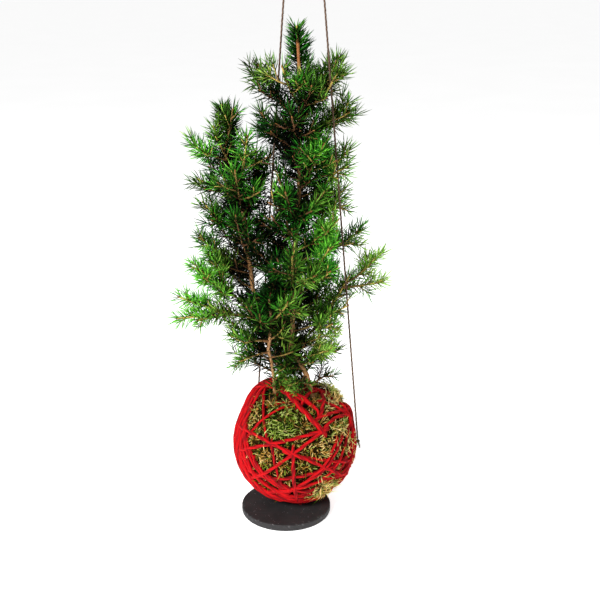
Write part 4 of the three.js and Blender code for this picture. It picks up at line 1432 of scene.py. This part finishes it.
def add_needles(heap, line, span, radius, fresh_and_lit, sizes, rng, finish, closing, dense, short):
    """Needles all round a twig, over a span in millimetres along it. closing is the greatest share
    of their slant that they lose round the bud at its tip. It is 0 on a stem, which has no bud of
    its own and shows its bark in the bare stretch."""
    start, end = span
    count = max(4, round((end - start) / (sizes.needle_spacing / MM / dense)))
    place = np.linspace(start, end, count) + rng.uniform(-0.3, 0.3, count)
    parts = np.clip(place / line.length, 0, 1)
    ways = line.way(parts)
    first, second = cross_axes(ways)
    angle = (GOLDEN_ANGLE * np.arange(count) + rng.uniform(-0.35, 0.35, count))[:, None]
    out = np.cos(angle) * first + np.sin(angle) * second
    out = unit(out + 0.3 * (UP - ways * ways[:, 2:]))
    close = smooth(1 - (line.length - place) / 8)[:, None] * rng.uniform(0.06, 1, (count, 1))
    slant = np.radians(NEEDLE_SLANT * (1 - closing * close) + rng.normal(0, 7, (count, 1)))
    needle_ways = unit(ways * np.cos(slant) + out * np.sin(slant))
    bends = 0.12 * ways - 0.06 * out + 0.05 * rng.normal(size=ways.shape)
    base = smooth((place - start) / 12)
    length = short * sizes.needle_length / MM * rng.uniform(0.8, 1.1, count) * (0.75 + 0.25 * base)
    feet = line.at(parts) + out * radius * 0.8
    seen = ~hides_string(feet, feet + (needle_ways + bends) * length[:, None])
    if not closing:
        low, high = BARE_STRETCH
        seen &= (feet[:, 2] < low) | (feet[:, 2] > high) | (out[:, 1] > BARE_FRONT)
    feet, length, place = feet[seen], length[seen], place[seen]
    count = len(feet)
    widths = sizes.needle_width / MM / 2 * rng.uniform(0.85, 1.15, count)
    profile = [(0.0, 0.7), (0.55, 1.0)]
    points, triangles, reach = blades(feet, needle_ways[seen], bends[seen], length, widths, profile, 3)
    # Painted shade: needles deep in the crown are darkened and made less olive, and the crown places add
    # painted light and shade.
    depth = crown_depth(feet)
    light_and_shade, drier = in_crown(feet)
    tone = fresh_and_lit + 0.14 * rng.normal(size=count) + light_and_shade + 0.07 - 0.54 * depth
    dry = 0.2 + drier - 0.3 * depth + rng.normal(0, 0.12) + rng.normal(0, 0.12, count)
    if closing:
        tone += 0.3 * smooth(1 - (line.length - place) / 20) - 0.1
    tone, dry = (np.repeat(np.clip(each, 0, 1), len(points) // count) for each in (tone, dry))
    heap.add(points, triangles, reach, tone, finish, dry)


def add_spray(heap, twigs, fresh_and_lit, sizes, rng, short=1.0):
    """The bark and the needles of a group of twigs."""
    for twig in twigs:
        line = twig["line"]
        own = fresh_and_lit + 0.07 * rng.normal()
        # The twig's yellow young bark follows its needles' tone, so it takes on their painted light and
        # shade.
        outer = line.at([0.7])
        here = in_crown(outer)[0][0] - 0.3 * crown_depth(outer)[0]
        add_bark(heap, twig, smooth((own + here - 0.2) * 3.5), rng)
        span = min(0.35 * twig["bare"], 0.3 * line.length), line.length + twig.get("past", 1)
        dense, closing = twig.get("dense", 1.0), twig.get("closing", 0.75)
        radius = twig["tip"] * BARK_SHARE
        add_needles(heap, line, span, radius, own, sizes, rng, 1, closing, dense, short)


class KOKEDAMA_OT_stems(bpy.types.Operator):
    """Makes the three stems, their own needles and the short shoots between the branches"""

    bl_idname = "kokedama.stems"
    bl_label = "Spruce stems"

    def execute(self, context):
        colours, sizes = context.scene.kokedama_colours, context.scene.kokedama_sizes
        bark, twig_bark = material_for(spruce_bark, colours), material_for(shoot_bark, colours)
        needles = material_for(waxy_needles, colours)
        for number, name in enumerate(STEMS):
            rng = np.random.default_rng(200 + number)
            line = Line(STEMS[name]["points"])
            heap = Heap()
            self.add_stem(heap, name, number, line, rng)
            heap.piece(f"bark_{name}", [bark], "bark", [f"stem_{name}"])

            heights = np.interp(np.linspace(0, 1, 400), line.travel / line.length, line.points[:, 2])
            start = line.length * np.interp(STEMS[name]["needled"], heights, np.linspace(0, 1, 400))
            crown, blunt = line.length - CROWN_STRETCH, line.length - BLUNT_STRETCH
            heap = Heap()
            for first, last, fresh_and_lit, dense, short in (
                (start, crown, 0.56, 1.1, 1.0),
                (crown, line.length, 0.7, 2, 1.2),
                (blunt, line.length, 0.8, 4, 1.25),
            ):
                radius = STEMS[name]["top"]
                add_needles(heap, line, (first, last), radius, fresh_and_lit, sizes, rng, 0, 0, dense, short)
            heap.piece(f"stem_needles_{name}", [needles], "needles")

            heap = Heap()
            rng = np.random.default_rng(300 + number)
            for twig in stem_shoots(name, rng):
                # Shoots that face the front are painted lighter, as on the lit side.
                add_spray(heap, [twig], 0.26 + 0.1 * twig["front"] + 0.08 * rng.normal(), sizes, rng)
            for height, heading, reach, rise in LOW_SHOOTS[name]:
                line = twig_line(foot_on_stem(name, height, heading), heading, reach, rise)
                twigs = [{**BRANCH, "base": 1.0, "tip": 0.6, "bare": 4, "line": line}]
                if reach > 10:
                    twigs += filling_twigs(line, rng)
                add_spray(heap, twigs, 0.56 + 0.05 * rng.normal(), sizes, rng, 0.7)
            heap.piece(f"side_shoots_{name}", [twig_bark, needles], "needles")
        return {"FINISHED"}

    def add_stem(self, heap, name, number, line, rng):
        """The stem's bark, thicker at each branch, rusty at its top and yellow below that."""
        rings, sides = round(line.length / 2.0), 12
        centres = line.at(np.linspace(0, 1, rings))
        for _ in range(2):
            centres[1:-1] = (centres[:-2] + 2 * centres[1:-1] + centres[2:]) / 4
        height = centres[:, 2]
        radii = np.interp(height, height[[0, -1]], STEMS[name]["bark"])
        for row in BRANCHES[name]:
            radii = radii * (1 + 0.18 * np.exp(-(((height - row[0]) / 3) ** 2)))
        waves = np.cos(5 * angles_round(sides))[None] * ripple(centres, 18, 30 + number)[:, None]
        lumps = 1 + 0.05 * rng.normal(size=(rings, sides))
        rust = 0.12 + 0.1 * smooth((height - 150) / 200) + 0.5 * smooth((height - 436) / 12)
        youth = 0.5 * smooth((450 - height) / 15) * smooth((height - 400) / 20)
        shape = tube(centres, radii[:, None] * (1 + 0.05 * waves) * lumps, sides)
        heap.add(*shape, to_corners(youth, sides), to_corners(rust, sides))


class KOKEDAMA_OT_sprays(bpy.types.Operator):
    """Makes every needled branch and the three leaders"""

    bl_idname = "kokedama.sprays"
    bl_label = "Spruce branches"

    def execute(self, context):
        colours, sizes = context.scene.kokedama_colours, context.scene.kokedama_sizes
        bark = material_for(shoot_bark, colours)
        needles = material_for(waxy_needles, colours)
        for number, name in enumerate(STEMS):
            rows = [("leader_" + name, leader_twigs(name), -90)]
            for index, row in enumerate(BRANCHES[name]):
                rows.append((f"spray_{name}_{index + 1:02d}", branch_twigs(name, row), row[1]))
            for index, (node, twigs, heading) in enumerate(rows):
                rng = np.random.default_rng(1000 + 100 * number + index)
                # Sprays that face the front are painted a little lighter, as on the lit side.
                front = -math.sin(math.radians(heading))
                fresh_and_lit = 0.32 + 0.06 * front + rng.uniform(-0.1, 0.1)
                more, short = [], 1.0
                if node.startswith("leader"):
                    fresh_and_lit = 0.56
                else:
                    more = [extra for twig in twigs for extra in filling_twigs(twig["line"], rng)]
                if max(twig["line"].at(0.5)[2] for twig in twigs) < LOW_SPRAY:
                    more, short = [], LOW_NEEDLES
                heap = Heap()
                add_spray(heap, twigs + more, fresh_and_lit, sizes, rng, short)
                piece = node.replace("spray", "needled").replace("leader", "needled_leader")
                heap.piece(piece, [bark, needles], "needles", [node])
        return {"FINISHED"}


# Panel and registration


class KOKEDAMA_PT_panel(bpy.types.Panel):
    bl_idname = "KOKEDAMA_PT_panel"
    bl_label = "Kokedama"
    bl_space_type = "VIEW_3D"
    bl_region_type = "UI"
    bl_category = "Kokedama"

    def draw(self, context):
        for group in (context.scene.kokedama_sizes, context.scene.kokedama_colours):
            box = self.layout.box()
            for name in group.__annotations__:
                box.prop(group, name)
        for operator in OPERATORS:
            self.layout.operator(operator.bl_idname)


OPERATORS = [
    KOKEDAMA_OT_stage,
    KOKEDAMA_OT_strings,
    KOKEDAMA_OT_plate,
    KOKEDAMA_OT_soil,
    KOKEDAMA_OT_yarn,
    KOKEDAMA_OT_moss,
    KOKEDAMA_OT_stems,
    KOKEDAMA_OT_sprays,
]
CLASSES = [KokedamaSizes, KokedamaColours, *OPERATORS, KOKEDAMA_PT_panel]


def register():
    for made in CLASSES:
        bpy.utils.register_class(made)
    bpy.types.Scene.kokedama_sizes = bpy.props.PointerProperty(type=KokedamaSizes)
    bpy.types.Scene.kokedama_colours = bpy.props.PointerProperty(type=KokedamaColours)


def unregister():
    del bpy.types.Scene.kokedama_colours
    del bpy.types.Scene.kokedama_sizes
    for made in reversed(CLASSES):
        bpy.utils.unregister_class(made)


def main():
    register()
    bpy.ops.kokedama.stage()
    bpy.ops.kokedama.strings()
    bpy.ops.kokedama.plate()
    bpy.ops.kokedama.soil()
    bpy.ops.kokedama.yarn()
    bpy.ops.kokedama.moss()
    bpy.ops.kokedama.stems()
    bpy.ops.kokedama.sprays()
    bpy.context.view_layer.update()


if __name__ == "__main__":
    main()
